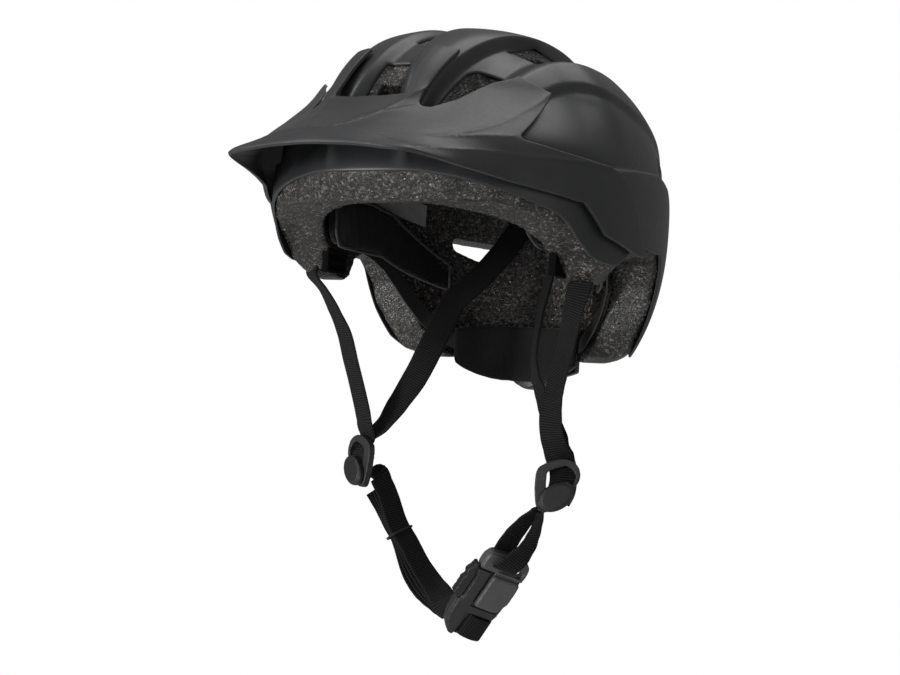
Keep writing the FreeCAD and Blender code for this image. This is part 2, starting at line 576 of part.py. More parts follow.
# knob with grip lobes
kn = cyl(V(0, YR + 9.2, DIAL_Z), Y1, DIAL_R, 9.0)
kn = kn.cut(cyl(V(0, YR + 9.0, DIAL_Z), Y1, 2.53, 2.6))
kn = kn.cut(cyl(V(0, YR + 9.0, DIAL_Z), Y1, 11.3, 1.2).cut(cyl(V(0, YR + 9.0, DIAL_Z), Y1, 4.0, 1.2)))
for i in range(12):
    a = math.radians(30 * i)
    kn = kn.cut(cyl(V(math.sin(a) * (DIAL_R + 1.4), YR + 8, DIAL_Z + math.cos(a) * (DIAL_R + 1.4)), Y1, 2.2, 12))
parts["dial_knob"] = kn
# end cap pressed on the knob's rear face
parts["dial_cap"] = cyl(V(0, YR + 18.25, DIAL_Z), Y1, 9.0, 1.2)
# racks: one above and one below the pinion, each drawn from its own side
for k, nm in ((1, "left"), (-1, "right")):
    zc = PINION_R + 2.6
    rk = box(-8.0, 27.0, YR + 0.7, YR + 2.9, DIAL_Z + zc - 1.2, DIAL_Z + zc + 0.8)
    pitch = 2 * math.pi * PINION_R / 8.0
    for i in range(-2, 7):
        x = pitch * i
        rk = rk.fuse(box(x - 0.4, x + 0.4, YR + 0.7, YR + 2.9, DIAL_Z + zc - 2.1, DIAL_Z + zc - 1.2))
    rk = rk.removeSplitter()
    if k < 0:
        rk = mirror(rk)
        rk = rk.mirror(V(0, 0, DIAL_Z), V(0, 0, 1))
    parts["rack_" + nm] = rk

# ---------------- strap dividers ----------------
def divider(k):
    zt = DIV_Z + DIV_DZ * (1 if k < 0 else -1)
    c = V(0, 0, 0)
    # oval frame in its own plane: local x along the face width, local z up, thickness in y
    def oval(w, h, t, dz=0.0, y=0.0):
        r = w / 2
        s = cyl(V(0, y - t / 2, dz + h / 2 - r), Y1, r, t)
        s = s.fuse(cyl(V(0, y - t / 2, dz - h / 2 + r), Y1, r, t))
        s = s.fuse(box(-r, r, y - t / 2, y + t / 2, dz - h / 2 + r, dz + h / 2 - r))
        return s.removeSplitter()
    body = oval(26.5, 36.0, 3.6)
    body = body.cut(box(-9.2, 9.2, -5, 5, -1.0, 13.0))
    body = filleted(body, 0.9, lambda e: e.Length > 20)
    body = body.cut(cyl(V(0, 1.0, -9.5), Y1, 8.2, 5))        # bay for the cam
    # hinge lugs for the cam lever
    lug = box(-11.4, -9.4, 1.8, 6.0, -3.4, 0.4).fuse(box(9.4, 11.4, 1.8, 6.0, -3.4, 0.4))
    body = body.fuse(lug).removeSplitter()
    body = body.cut(cyl(V(-20, 4.2, -1.5), X1, 0.85, 40))
    lever = cyl(V(0, 2.2, -9.5), Y1, 9.5, 2.4)
    lever = lever.fuse(box(-8.9, 8.9, 2.5, 5.6, -4.0, -0.5))
    lever = lever.cut(box(-20, 20, 1.9, 9, -0.5, 20)).removeSplitter()
    lever = lever.cut(cyl(V(-20, 4.2, -1.5), X1, 0.86, 40))
    pin = cyl(V(-11.4, 4.2, -1.5), X1, 0.8, 22.8)
    out = []
    for s in (body, lever, pin):
        s = s.copy()
        # face turned outwards and to the front, hanging a little back
        s.rotate(V(0, 0, 0), V(0, 0, 1), -180 + DIV_TURN)
        s.rotate(V(0, 0, 0), V(1, 0, 0), -DIV_TILT)
        out.append(s)
    for i, s in enumerate(out):
        if k < 0:
            s = mirror(s)
        s.translate(V(k * DIV_X, DIV_Y, zt))
        out[i] = s
    return out
for k, nm in ((1, "left"), (-1, "right")):
    b, l, p = divider(k)
    parts["divider_" + nm] = b
    parts["cam_lever_" + nm] = l
    parts["cam_pin_" + nm] = p

# ---------------- buckle ----------------
ax = BUCK_BOT - BUCK_TOP
BL = ax.Length
ax.normalize()
fn = V(0.617, -0.624, -0.478)
fn = fn - ax * fn.dot(ax)
fn.normalize()
sx = ax.cross(fn)           # across the buckle
def place(s):
    # local: z along the buckle from its top, y out of the face, x across
    m = FreeCAD.Matrix(sx.x, fn.x, ax.x, BUCK_TOP.x, sx.y, fn.y, ax.y, BUCK_TOP.y, sx.z, fn.z, ax.z, BUCK_TOP.z, 0, 0, 0, 1)
    s = s.copy()
    s.transformShape(m)
    return s
# half fixed to the long strap: tray with the adjuster slot
base = box(-12, 12, -5.0, 1.6, 13, 39)
base = filleted(base, 1.6, lambda e: abs(e.BoundBox.YLength) > 5)
base = base.cut(box(-8.2, 8.2, -2.8, 2.0, 12, 33.5))
lad = box(-12, 12, -5.0, -0.6, 39, 52)
lad = lad.cut(box(-8.8, 8.8, -6, 0, 40.6, 43.6)).cut(box(-8.8, 8.8, -6, 0, 46.4, 49.6))
base = base.fuse(lad).removeSplitter()
base = base.cut(box(8.2, 13, -3.0, 3.0, 17, 30))         # side bay for the finger tab
parts["buckle_base"] = place(base)
# half fixed to the loop: slot bar and the sliding plate with its raised face
ton = box(-12, 12, -4.4, 3.4, 0, 12.6)
ton = filleted(ton, 1.4, lambda e: abs(e.BoundBox.YLength) > 6)
ton = ton.cut(box(-8.8, 8.8, -6, 6, 2.8, 6.2))
ton = ton.fuse(box(-7.8, 7.8, -2.4, 1.8, 12.6, 33.0))
ton = ton.fuse(box(-11.2, 9.5, 2.0, 4.6, 12.9, 34.0)).fuse(box(-7.8, 7.8, 1.0, 2.4, 12.6, 33.0)).removeSplitter()
ton = ton.cut(cyl(V(0, -3, 25), Y1, 4.1, 3.1))
parts["buckle_tongue"] = place(ton)
parts["magnet_tongue"] = place(cyl(V(0, -2.2, 25), Y1, 4.0, 2.1))
mb = cyl(V(0, -4.6, 25), Y1, 4.0, 1.4)
parts["buckle_base"] = parts["buckle_base"].cut(place(cyl(V(0, -4.7, 25), Y1, 4.1, 1.6)))
parts["magnet_base"] = place(mb)
tab = box(10.4, 16.2, -2.7, 1.6, 17.6, 29.4)
for i in range(4):
    tab = tab.cut(cyl(V(16.5, -4, 19.2 + 2.9 * i), Y1, 1.0, 8))
parts["release_tab"] = place(tab)

# ---------------- chin straps ----------------
# left: a loop of webbing from the divider to the buckle's slot bar
dl = V(DIV_X, DIV_Y, DIV_Z - DIV_DZ)
top = dl + V(-5.5, -1.0, -20.3)
e1 = BUCK_TOP + ax * 0.6 + fn * 5.4
e2 = BUCK_TOP + ax * 0.6 - fn * 6.4
P1 = [top + V(-2.2, 1.0, 0), top + V(-9.0, 2.2, -7.0), top + V(-16.5, 3.5, -11.5), e2 + V(0.8, 0.2, 6.0), e2]
P2 = [top + V(0.8, -0.6, -1.5), top + V(-0.5, -2.0, -9.5), top + V(-2.5, -3.5, -17.5), e1 + V(5.0, 0.5, 6.0), e1]
p = crom(P1, 3)
s1 = ribbon(p, blend_v(V(-0.70, 0.62, 0.3), V(0.0, 0, 0) - sx, len(p)), 14.5, 1.3)
p = crom(P2, 3)
s2 = ribbon(p, blend_v(V(-0.80, 0.42, 0.0), V(0, 0, 0) - sx, len(p)), 14.5, 1.3)
parts["chin_strap_left"] = Part.makeCompound([s1, s2])
# right: the long strap with its folded tail
CHIN = [V(-61.5, -8.0, -170.6), V(-56.0, -5.5, -178.0), V(-45.0, -3.0, -193.0), V(-32.0, 0.0, -209.5), V(-19.0, 2.0, -224.5), V(-6.0, 3.4, -237.0), BUCK_BOT + ax * 4.8 - fn * 5.6]
chin = crom(CHIN, 3)
NC = len(chin)
w2 = blend_v(V(-0.55, 0.75, 0.25), V(0.31, 0.88, 0.36), 7) + blend_v(V(0.31, 0.88, 0.36), V(0.30, 0.90, 0.30), NC - 7)
parts["chin_strap_right"] = ribbon(chin, w2, 15.0, 1.6)
# folded tail lies on the outer face of the strap
fr = frames(chin, w2)
def out_n(n):
    return n if (n.x - 0.0) < 0 else n * -1.0
i0, i1 = 2, NC - 5
tail = [fr[i][0] + out_n(fr[i][2]) * 3.35 for i in range(i0, i1)]
parts["strap_tail"] = ribbon(tail, [fr[i][1] for i in range(i0, i1)], 15.0, 4.4)
# keeper ring round the strap and its tail
i = 8
p, w, n = fr[i]
n = out_n(n)
t = w.cross(n)
m = FreeCAD.Matrix(w.x, n.x, t.x, p.x, w.y, n.y, t.y, p.y, w.z, n.z, t.z, p.z, 0, 0, 0, 1)
k1 = box(-9.4, 9.4, -2.8, 7.4, -0.8, 0.8).cut(box(-8.1, 8.1, -1.5, 6.1, -3, 3))
k1.transformShape(m)
parts["keeper_ring"] = k1

# ---------------- write ----------------
for name in sorted(parts):
    s = parts[name]
    s.exportStep("parts/%s.step" % name)
    bb = s.BoundBox
    print("%-20s valid=%s solids=%d vol=%9.1f  x %.1f..%.1f y %.1f..%.1f z %.1f..%.1f" % (
        name, s.isValid(), len(s.Solids), s.Volume, bb.XMin, bb.XMax, bb.YMin, bb.YMax, bb.ZMin, bb.ZMax))
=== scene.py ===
import bpy, bmesh, math, json
import numpy as np
from mathutils import Vector, Matrix, kdtree
from mathutils.geometry import delaunay_2d_cdt, tessellate_polygon


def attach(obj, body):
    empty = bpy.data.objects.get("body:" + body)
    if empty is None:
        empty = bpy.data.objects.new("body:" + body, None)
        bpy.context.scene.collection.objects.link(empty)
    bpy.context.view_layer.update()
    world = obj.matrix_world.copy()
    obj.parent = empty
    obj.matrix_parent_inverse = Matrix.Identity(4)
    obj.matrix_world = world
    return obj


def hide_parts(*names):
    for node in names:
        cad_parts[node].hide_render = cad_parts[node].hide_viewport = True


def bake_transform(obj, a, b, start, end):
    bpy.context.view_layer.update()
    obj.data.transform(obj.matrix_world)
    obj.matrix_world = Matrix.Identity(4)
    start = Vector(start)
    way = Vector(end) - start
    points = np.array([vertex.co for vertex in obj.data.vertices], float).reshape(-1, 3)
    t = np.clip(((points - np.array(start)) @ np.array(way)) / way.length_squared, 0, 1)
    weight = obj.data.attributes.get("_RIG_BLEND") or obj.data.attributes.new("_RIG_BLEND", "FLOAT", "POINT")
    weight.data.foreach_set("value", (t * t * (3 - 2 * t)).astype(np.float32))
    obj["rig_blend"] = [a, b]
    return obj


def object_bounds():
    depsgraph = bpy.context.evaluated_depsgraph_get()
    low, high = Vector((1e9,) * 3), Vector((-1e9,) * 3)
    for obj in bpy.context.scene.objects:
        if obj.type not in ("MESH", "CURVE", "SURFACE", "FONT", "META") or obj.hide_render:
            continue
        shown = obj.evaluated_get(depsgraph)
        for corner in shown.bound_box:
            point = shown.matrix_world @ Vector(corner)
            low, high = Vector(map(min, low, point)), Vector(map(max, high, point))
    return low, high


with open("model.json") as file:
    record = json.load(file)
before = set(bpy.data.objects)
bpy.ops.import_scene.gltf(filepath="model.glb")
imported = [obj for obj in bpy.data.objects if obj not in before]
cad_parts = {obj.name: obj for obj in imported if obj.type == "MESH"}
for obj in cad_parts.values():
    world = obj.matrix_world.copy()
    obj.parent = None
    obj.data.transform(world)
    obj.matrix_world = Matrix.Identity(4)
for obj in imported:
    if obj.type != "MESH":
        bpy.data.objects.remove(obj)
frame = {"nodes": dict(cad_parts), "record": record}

CAD_BOX = [list(v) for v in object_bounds()]
SC = bpy.context.scene
MM = 0.001

# ------------------------------------------------------------------ camera
CAM_C = Vector((0.46832795, -0.88273263, -0.03810561))
CAM_R = Vector((0.88294759, 0.46597219, 0.05721419))
CAM_U = Vector((-0.03274868, -0.06044026, 0.99763445))
CAM_T = Vector((-0.01143, -0.00296, -0.07192))
cam_data = bpy.data.cameras.new("camera")
cam_data.sensor_width = 36.0
cam_data.lens = 69.6
cam_data.clip_start = 0.05
cam_data.clip_end = 200.0
cam = bpy.data.objects.new("camera", cam_data)
SC.collection.objects.link(cam)
cam.matrix_world = Matrix(((CAM_R.x, CAM_U.x, CAM_C.x, CAM_T.x + 1.06 * CAM_C.x),
                           (CAM_R.y, CAM_U.y, CAM_C.y, CAM_T.y + 1.06 * CAM_C.y),
                           (CAM_R.z, CAM_U.z, CAM_C.z, CAM_T.z + 1.06 * CAM_C.z), (0, 0, 0, 1)))
SC.camera = cam

# ------------------------------------------------------------------ the form, in millimetres
A, B, CU, CL, ZC, N = 110.1, 136.8, 107.3, 134.5, 4.9, 2.25
AI, BI, CI, CI_LOW = 81.0, 106.0, 79.0, 130.0
SHELL_T = 1.5
C0 = np.array([0.0, 0.0, ZC])

def S(t):
    t = np.clip(t, 0.0, 1.0)
    return t * t * (3.0 - 2.0 * t)

def tab(x, T):
    T = np.asarray(T, float)
    return np.interp(x, T[:, 0], T[:, 1])

def soft_tab(T, w=5.0, step=0.5):
    # the same table with its corners eased
    T = np.asarray(T, float)
    xs = np.arange(T[0, 0] - 3 * w, T[-1, 0] + 3 * w, step)
    ys = np.interp(xs, T[:, 0], T[:, 1])
    n = int(3 * w / step)
    k = np.exp(-0.5 * (np.arange(-n, n + 1) * step / w) ** 2)
    ye = np.convolve(np.pad(ys, n, mode="edge"), k / k.sum(), mode="valid")
    return lambda x: np.interp(x, xs, ye)

def r_form(d):
    c = np.where(d[:, 2] > 0, CU, CL)
    return ((np.abs(d[:, 0]) / A) ** N + (np.abs(d[:, 1]) / B) ** N + (np.abs(d[:, 2]) / c) ** N) ** (-1.0 / N)

f_in = soft_tab([(-70, 26), (-60, 29), (-50, 33), (-43, 38), (-35, 41), (-27, 44), (-10, 46), (0, 46), (20, 44), (40, 38), (55, 32), (70, 27)])
f_out = soft_tab([(-70, 48), (-60, 50), (-55, 55), (-50, 60), (-45, 63), (-40, 65), (-27, 68), (-15, 70), (0, 70), (20, 68), (40, 62), (55, 54), (70, 46)])
f_cen = soft_tab([(-70, 19), (-60, 16), (-50, 11), (-43, 8.5), (-35, 7.5), (0, 7), (30, 9), (50, 12), (70, 14)])
f_cre = soft_tab([(-60, 72), (-38, 81), (-26, 86), (-13, 90), (-2, 93), (12, 96), (34, 94), (51, 86), (70, 74)])
f_band = soft_tab([(-137, 20), (-44, 24), (-8, 28), (32, 31), (60, 26), (100, 14), (137, 6)])

def relief(p, k=1.0):
    x, y, z = p[:, 0], p[:, 1], p[:, 2]
    ax = np.abs(x)
    b = np.degrees(np.arctan2(y, np.maximum(z + 30.0, 1.0)))
    top = S((z - 8.0) / 26.0)
    w_in = S((ax - f_in(b)) / (6.0 * k) + 0.5)
    w_out = 1.0 - S((ax - f_out(b)) / (13.0 * k) + 0.5)
    fade = S((b + 74.0) / 8.0) * (1.0 - S((b - 64.0) / 10.0))
    chan = 7.5 * w_in * w_out * fade
    cen = 5.5 * (1.0 - S((ax - f_cen(b)) / (10.0 * k) + 0.5)) * fade
    above = S((z - f_band(y)) / (4.0 * k) + 0.5)
    w_cr = S((ax - f_cre(b)) / (6.0 * k) + 0.5)
    return (chan + cen) * top + 2.6 * w_cr * above

def dirs(st):
    # azimuthal equidistant map about the crown, degrees
    h = np.maximum(np.hypot(st[:, 0], st[:, 1]), 1e-9)
    rho = np.radians(h)
    k = np.sin(rho) / h
    return np.stack([st[:, 0] * k, st[:, 1] * k, np.cos(rho)], 1)

def undirs(d):
    d = d / np.linalg.norm(d, axis=1)[:, None]
    rho = np.degrees(np.arccos(np.clip(d[:, 2], -1, 1)))
    h = np.maximum(np.hypot(d[:, 0], d[:, 1]), 1e-9)
    return np.stack([d[:, 0] / h * rho, d[:, 1] / h * rho], 1)

def form_base(st):
    d = dirs(st)
    return d, C0 + d * r_form(d)[:, None]

SHELL_RIM = [(-150, 11), (-134, 10.8), (-124, 7.5), (-112, 3.5), (-100, -0.5), (-93, -2.5), (-82, -6.5), (-74, -12), (-67, -19),
             (-55, -27), (-43, -29.5), (-30, -30), (-22, -26), (-9, -15.6), (14, -16.5), (38, -17), (45, -26), (50, -52), (56, -70),
             (65, -78), (75, -76), (84, -70), (93, -65), (106, -62), (124, -57.5), (150, -55)]

def closed_resample(P, step, closed=True):
    P = np.asarray(P, float)
    Q = np.vstack([P, P[:1]]) if closed else P
    seg = np.linalg.norm(np.diff(Q, axis=0), axis=1)
    L = np.concatenate([[0], np.cumsum(seg)])
    n = max(int(round(L[-1] / step)), 4)
    t = np.linspace(0, L[-1], n + (0 if closed else 1), endpoint=not closed)
    return np.stack([np.interp(t, L, Q[:, k]) for k in range(Q.shape[1])], 1)

def closed_smooth(P, sigma, step):
    n = int(3 * sigma / step) + 1
    k = np.exp(-0.5 * (np.arange(-n, n + 1) * step / sigma) ** 2)
    k /= k.sum()
    m = len(P)
    out = np.zeros_like(P)
    for i, w in enumerate(k):
        out += w * np.roll(P, n - i, axis=0)
    return out

def crom(P, W, per):
    P = np.array(P, float)
    W = np.array(W, float)
    E = np.vstack([2 * P[0] - P[1], P, 2 * P[-1] - P[-2]])
    out, wo = [], []
    for i in range(len(P) - 1):
        p0, p1, p2, p3 = E[i:i + 4]
        for j in range(per):
            t = j / per
            out.append(0.5 * (2 * p1 + (p2 - p0) * t + (2 * p0 - 5 * p1 + 4 * p2 - p3) * t ** 2 + (3 * p1 - p0 - 3 * p2 + p3) * t ** 3))
            wo.append(W[i] * (1 - S(t)) + W[i + 1] * S(t))
    out.append(P[-1])
    wo.append(W[-1])
    return np.array(out), np.array(wo)

# ------------------------------------------------------------------ planar patches with rolled edges
def hexgrid(x0, x1, y0, y1, h):
    rows = []
    ny = int((y1 - y0) / (h * 0.866)) + 2
    nx = int((x1 - x0) / h) + 2
    for j in range(ny):
        xs = x0 + (np.arange(nx) + (0.5 if j % 2 else 0.0)) * h
        rows.append(np.stack([xs, np.full(nx, y0 + j * h * 0.866)], 1))
    return np.vstack(rows)

def inside_poly(pts, poly):
    # even-odd rule, only tested inside the polygon's box
    lo, hi = poly.min(0), poly.max(0)
    res = np.zeros(len(pts), bool)
    idx = np.where(np.all((pts >= lo) & (pts <= hi), axis=1))[0]
    if not len(idx):
        return res
    x, y = pts[idx, 0], pts[idx, 1]
    r = np.zeros(len(idx), bool)
    q = np.roll(poly, -1, axis=0)
    for (x0, y0), (x1, y1) in zip(poly, q):
        if y0 == y1:
            continue
        c = (y0 > y) != (y1 > y)
        r ^= c & (x < (x1 - x0) * (y - y0) / (y1 - y0) + x0)
    res[idx] = r
    return res

def ring(poly, pos, dist, outward):
    # polygon moved by a real distance across the surface, away from the opening
    nx = np.roll(poly, -1, axis=0) - np.roll(poly, 1, axis=0)
    nrm = np.stack([nx[:, 1], -nx[:, 0]], 1)
    nrm /= np.maximum(np.linalg.norm(nrm, axis=1), 1e-9)[:, None]
    area = 0.5 * np.sum(poly[:, 0] * np.roll(poly[:, 1], -1) - np.roll(poly[:, 0], -1) * poly[:, 1])
    if area < 0:
        nrm = -nrm
    if not outward:
        nrm = -nrm
    sc = np.linalg.norm(pos(poly + nrm * 0.2) - pos(poly), axis=1) / 0.2
    return poly + nrm * (dist / np.maximum(sc, 0.3))[:, None]

def patch(name, outline, holes, pos, place, spacing, rings=(0.0, 0.12, 0.4, 0.8, 1.3), extra=()):
    """A closed thin solid over a planar domain. pos maps the domain to a plain surface, place(domain, distance to the nearest edge) gives
    the outer and inner skins."""
    loops = [(outline, False)] + [(h, True) for h in holes]
    pts, edges, dist = [], [], []
    n = 0
    band = max(rings)
    for poly, out in loops:
        m = len(poly)
        for r in rings:
            q = poly if r == 0 else ring(poly, pos, r, out)
            pts.append(q)
            dist.append(np.full(m, r))
            if r == 0:
                edges += [(n + i, n + (i + 1) % m) for i in range(m)]
            n += m
    for q in extra:
        pts.append(q)
        dist.append(np.full(len(q), 99.0))
        edges += [(n + i, n + i + 1) for i in range(len(q) - 1)]
        n += len(q)
    lo, hi = outline.min(0), outline.max(0)
    g = hexgrid(lo[0], hi[0], lo[1], hi[1], spacing)
    keep = inside_poly(g, outline)
    for h in holes:
        keep &= ~inside_poly(g, h)
    g = g[keep]
    # distance from the grid to the edges
    kd = kdtree.KDTree(sum(len(l) for l, _ in loops))
    i = 0
    for l, _ in loops:
        for c in pos(l):
            kd.insert(c, i)
            i += 1
    kd.balance()
    gp = pos(g)
    gd = np.full(len(g), 99.0)
    lp = np.vstack([l for l, _ in loops])
    near = np.ones(len(g), bool)
    for i in range(len(g)):
        gd[i] = kd.find(gp[i])[2]
    ok = gd > band + 0.45
    if len(extra):
        ex = np.vstack(extra)
        ke = kdtree.KDTree(len(ex))
        for i, c in enumerate(pos(ex)):
            ke.insert(c, i)
        ke.balance()
        for i in np.where(ok)[0]:
            if ke.find(gp[i])[2] < 0.6:
                ok[i] = False
    pts.append(g[ok])
    dist.append(gd[ok])
    P = np.vstack(pts)
    D = np.concatenate(dist)
    res = delaunay_2d_cdt([Vector(p) for p in P], edges, [], 0, 1e-6)
    V2 = np.array([tuple(v) for v in res[0]])
    F = np.array([f for f in res[2] if len(f) == 3], int)
    src = [o[0] if len(o) else -1 for o in res[3]]
    V3 = pos(V2)
    DD = np.array([D[s] if s >= 0 else kd.find(V3[i])[2] for i, s in enumerate(src)])
    cen = V2[F].mean(1)
    good = inside_poly(cen, outline)
    for h in holes:
        good &= ~inside_poly(cen, h)
    F = F[good]
    used = np.unique(F)
    remap = np.full(len(V2), -1)
    remap[used] = np.arange(len(used))
    F = remap[F]
    V2, DD = V2[used], DD[used]
    outer, inner = place(V2, DD)
    # boundary edges
    E = np.vstack([F[:, [0, 1]], F[:, [1, 2]], F[:, [2, 0]]])
    key = np.sort(E, 1)
    _, inv, cnt = np.unique(key, axis=0, return_inverse=True, return_counts=True)
    be = E[cnt[inv.ravel()] == 1]
    m = len(V2)
    faces = [tuple(f) for f in F] + [tuple(f[::-1] + m) for f in F] + [(b[1], b[0], b[0] + m, b[1] + m) for b in be]
    me = bpy.data.meshes.new(name)
    me.from_pydata([tuple(v * MM) for v in np.vstack([outer, inner])], [], faces)
    me.update()
    ob = bpy.data.objects.new(name, me)
    SC.collection.objects.link(ob)
    bm = bmesh.new()
    bm.from_mesh(me)
    bmesh.ops.recalc_face_normals(bm, faces=bm.faces)
    bm.to_mesh(me)
    bm.free()
    smooth(ob, 50)
    return ob

def smooth(ob, angle=40):
    me = ob.data
    me.polygons.foreach_set("use_smooth", [True] * len(me.polygons))
    bm = bmesh.new()
    bm.from_mesh(me)
    a = math.radians(angle)
    for e in bm.edges:
        if len(e.link_faces) == 2:
            e.smooth = e.calc_face_angle(0.0) < a
    bm.to_mesh(me)
    bm.free()
    me.update()

# ------------------------------------------------------------------ materials
def new_mat(name):
    m = bpy.data.materials.new(name)
    m.use_nodes = True
    nt = m.node_tree
    for n in list(nt.nodes):
        if n.type not in ("BSDF_PRINCIPLED", "OUTPUT_MATERIAL"):
            nt.nodes.remove(n)
    p = next(n for n in nt.nodes if n.type == "BSDF_PRINCIPLED")
    return m, nt, p

def node(nt, kind, **kw):
    n = nt.nodes.new(kind)
    ins = kw.pop("ins", {})
    for k, v in kw.items():
        setattr(n, k, v)
    for k, v in ins.items():
        n.inputs[k].default_value = v
    return n

def coords(nt, which="Object"):
    return node(nt, "ShaderNodeTexCoord").outputs[which]

def noise(nt, vec, scale, detail=4.0, rough=0.55):
    n = node(nt, "ShaderNodeTexNoise", ins={"Scale": scale, "Detail": detail, "Roughness": rough})
    nt.links.new(vec, n.inputs["Vector"])
    return n.outputs["Fac"]

def ramp(nt, fac, stops):
    r = node(nt, "ShaderNodeValToRGB")
    cr = r.color_ramp
    while len(cr.elements) > 1:
        cr.elements.remove(cr.elements[-1])
    cr.elements[0].position = stops[0][0]
    cr.elements[0].color = (*stops[0][1], 1) if len(stops[0][1]) == 3 else stops[0][1]
    for pos, c in stops[1:]:
        e = cr.elements.new(pos)
        e.color = (*c, 1)
    nt.links.new(fac, r.inputs["Fac"])
    return r.outputs["Color"]

def g3(v):
    return (v, v, v)

def bump(nt, height, strength, distance, normal=None):
    b = node(nt, "ShaderNodeBump", ins={"Strength": strength, "Distance": distance})
    nt.links.new(height, b.inputs["Height"])
    if normal is not None:
        nt.links.new(normal, b.inputs["Normal"])
    return b.outputs["Normal"]

def rough_from(nt, p, fac, lo, hi):
    m = node(nt, "ShaderNodeMapRange", ins={"From Min": 0.3, "From Max": 0.7, "To Min": lo, "To Max": hi})
    nt.links.new(fac, m.inputs["Value"])
    nt.links.new(m.outputs["Result"], p.inputs["Roughness"])

def plastic(name, dark, light, lo, hi, grain=2600.0, gstr=0.12, spec=0.5, gdist=0.00012, coarse=38.0):
    m, nt, p = new_mat(name)
    v = coords(nt)
    big = noise(nt, v, coarse, 5.0, 0.6)
    c = ramp(nt, big, [(0.30, dark), (0.72, light)])
    nt.links.new(c, p.inputs["Base Color"])
    mid = noise(nt, v, 420.0, 4.0, 0.6)
    rough_from(nt, p, mid, lo, hi)
    p.inputs["Specular IOR Level"].default_value = spec
    fine = noise(nt, v, grain, 2.0, 0.5)
    nrm = bump(nt, fine, gstr, gdist)
    nt.links.new(nrm, p.inputs["Normal"])
    return m

def m_eps():
    m, nt, p = new_mat("eps_bead_foam")
    v = coords(nt)
    wob = node(nt, "ShaderNodeTexNoise", ins={"Scale": 220.0, "Detail": 2.0})
    nt.links.new(v, wob.inputs["Vector"])
    mx = node(nt, "ShaderNodeMix", data_type="VECTOR")
    mx.inputs[0].default_value = 0.0012
    nt.links.new(v, mx.inputs[4])
    nt.links.new(wob.outputs["Color"], mx.inputs[5])
    vec = mx.outputs[1]
    cell = node(nt, "ShaderNodeTexVoronoi", ins={"Scale": 800.0, "Randomness": 1.0})
    nt.links.new(vec, cell.inputs["Vector"])
    edge = node(nt, "ShaderNodeTexVoronoi", feature="DISTANCE_TO_EDGE", ins={"Scale": 800.0, "Randomness": 1.0})
    nt.links.new(vec, edge.inputs["Vector"])
    sep = node(nt, "ShaderNodeSeparateColor")
    nt.links.new(cell.outputs["Color"], sep.inputs["Color"])
    tone = ramp(nt, sep.outputs["Red"], [(0.0, (0.0035, 0.003, 0.0028)), (0.35, (0.0085, 0.0072, 0.0064)), (0.62, (0.024, 0.0208, 0.0186)), (0.84, (0.070, 0.062, 0.056)), (1.0, (0.18, 0.164, 0.150))])
    seam = ramp(nt, edge.outputs["Distance"], [(0.0, g3(0.22)), (0.12, g3(1.0))])
    mul = node(nt, "ShaderNodeMix", data_type="RGBA", blend_type="MULTIPLY")
    mul.inputs[0].default_value = 1.0
    nt.links.new(tone, mul.inputs[6])
    nt.links.new(seam, mul.inputs[7])
    mott = noise(nt, v, 60.0, 4.0, 0.6)
    mt = ramp(nt, mott, [(0.3, g3(0.72)), (0.7, g3(1.12))])
    mul2 = node(nt, "ShaderNodeMix", data_type="RGBA", blend_type="MULTIPLY")
    mul2.inputs[0].default_value = 1.0
    nt.links.new(mul.outputs[2], mul2.inputs[6])
    nt.links.new(mt, mul2.inputs[7])
    nt.links.new(mul2.outputs[2], p.inputs["Base Color"])
    mr = node(nt, "ShaderNodeMapRange", ins={"From Min": 0.0, "From Max": 1.0, "To Min": 0.20, "To Max": 0.46})
    nt.links.new(sep.outputs["Green"], mr.inputs["Value"])
    nt.links.new(mr.outputs["Result"], p.inputs["Roughness"])
    p.inputs["Specular IOR Level"].default_value = 0.55
    h = ramp(nt, edge.outputs["Distance"], [(0.0, g3(0.0)), (0.14, g3(0.8)), (0.3, g3(1.0))])
    n1 = bump(nt, h, 0.55, 0.00035)
    fine = noise(nt, v, 1500.0, 3.0, 0.6)
    n2 = bump(nt, fine, 0.25, 0.0002, n1)
    nt.links.new(n2, p.inputs["Normal"])
    return m

def m_fabric(name, dark, light, scale=900.0, sheen=0.35):
    m, nt, p = new_mat(name)
    v = coords(nt)
    big = noise(nt, v, 70.0, 5.0, 0.6)
    kn = node(nt, "ShaderNodeTexVoronoi", ins={"Scale": scale, "Randomness": 0.45})
    nt.links.new(v, kn.inputs["Vector"])
    c1 = ramp(nt, big, [(0.3, dark), (0.7, light)])
    k = ramp(nt, kn.outputs["Distance"], [(0.0, g3(1.25)), (0.6, g3(0.6))])
    mul = node(nt, "ShaderNodeMix", data_type="RGBA", blend_type="MULTIPLY")
    mul.inputs[0].default_value = 1.0
    nt.links.new(c1, mul.inputs[6])
    nt.links.new(k, mul.inputs[7])
    nt.links.new(mul.outputs[2], p.inputs["Base Color"])
    rough_from(nt, p, big, 0.86, 0.96)
    p.inputs["Specular IOR Level"].default_value = 0.25
    p.inputs["Sheen Weight"].default_value = sheen
    p.inputs["Sheen Roughness"].default_value = 0.4
    fz = noise(nt, v, 2400.0, 3.0, 0.6)
    n1 = bump(nt, kn.outputs["Distance"], 0.5, 0.0003)
    n2 = bump(nt, fz, 0.35, 0.0002, n1)
    nt.links.new(n2, p.inputs["Normal"])
    return m

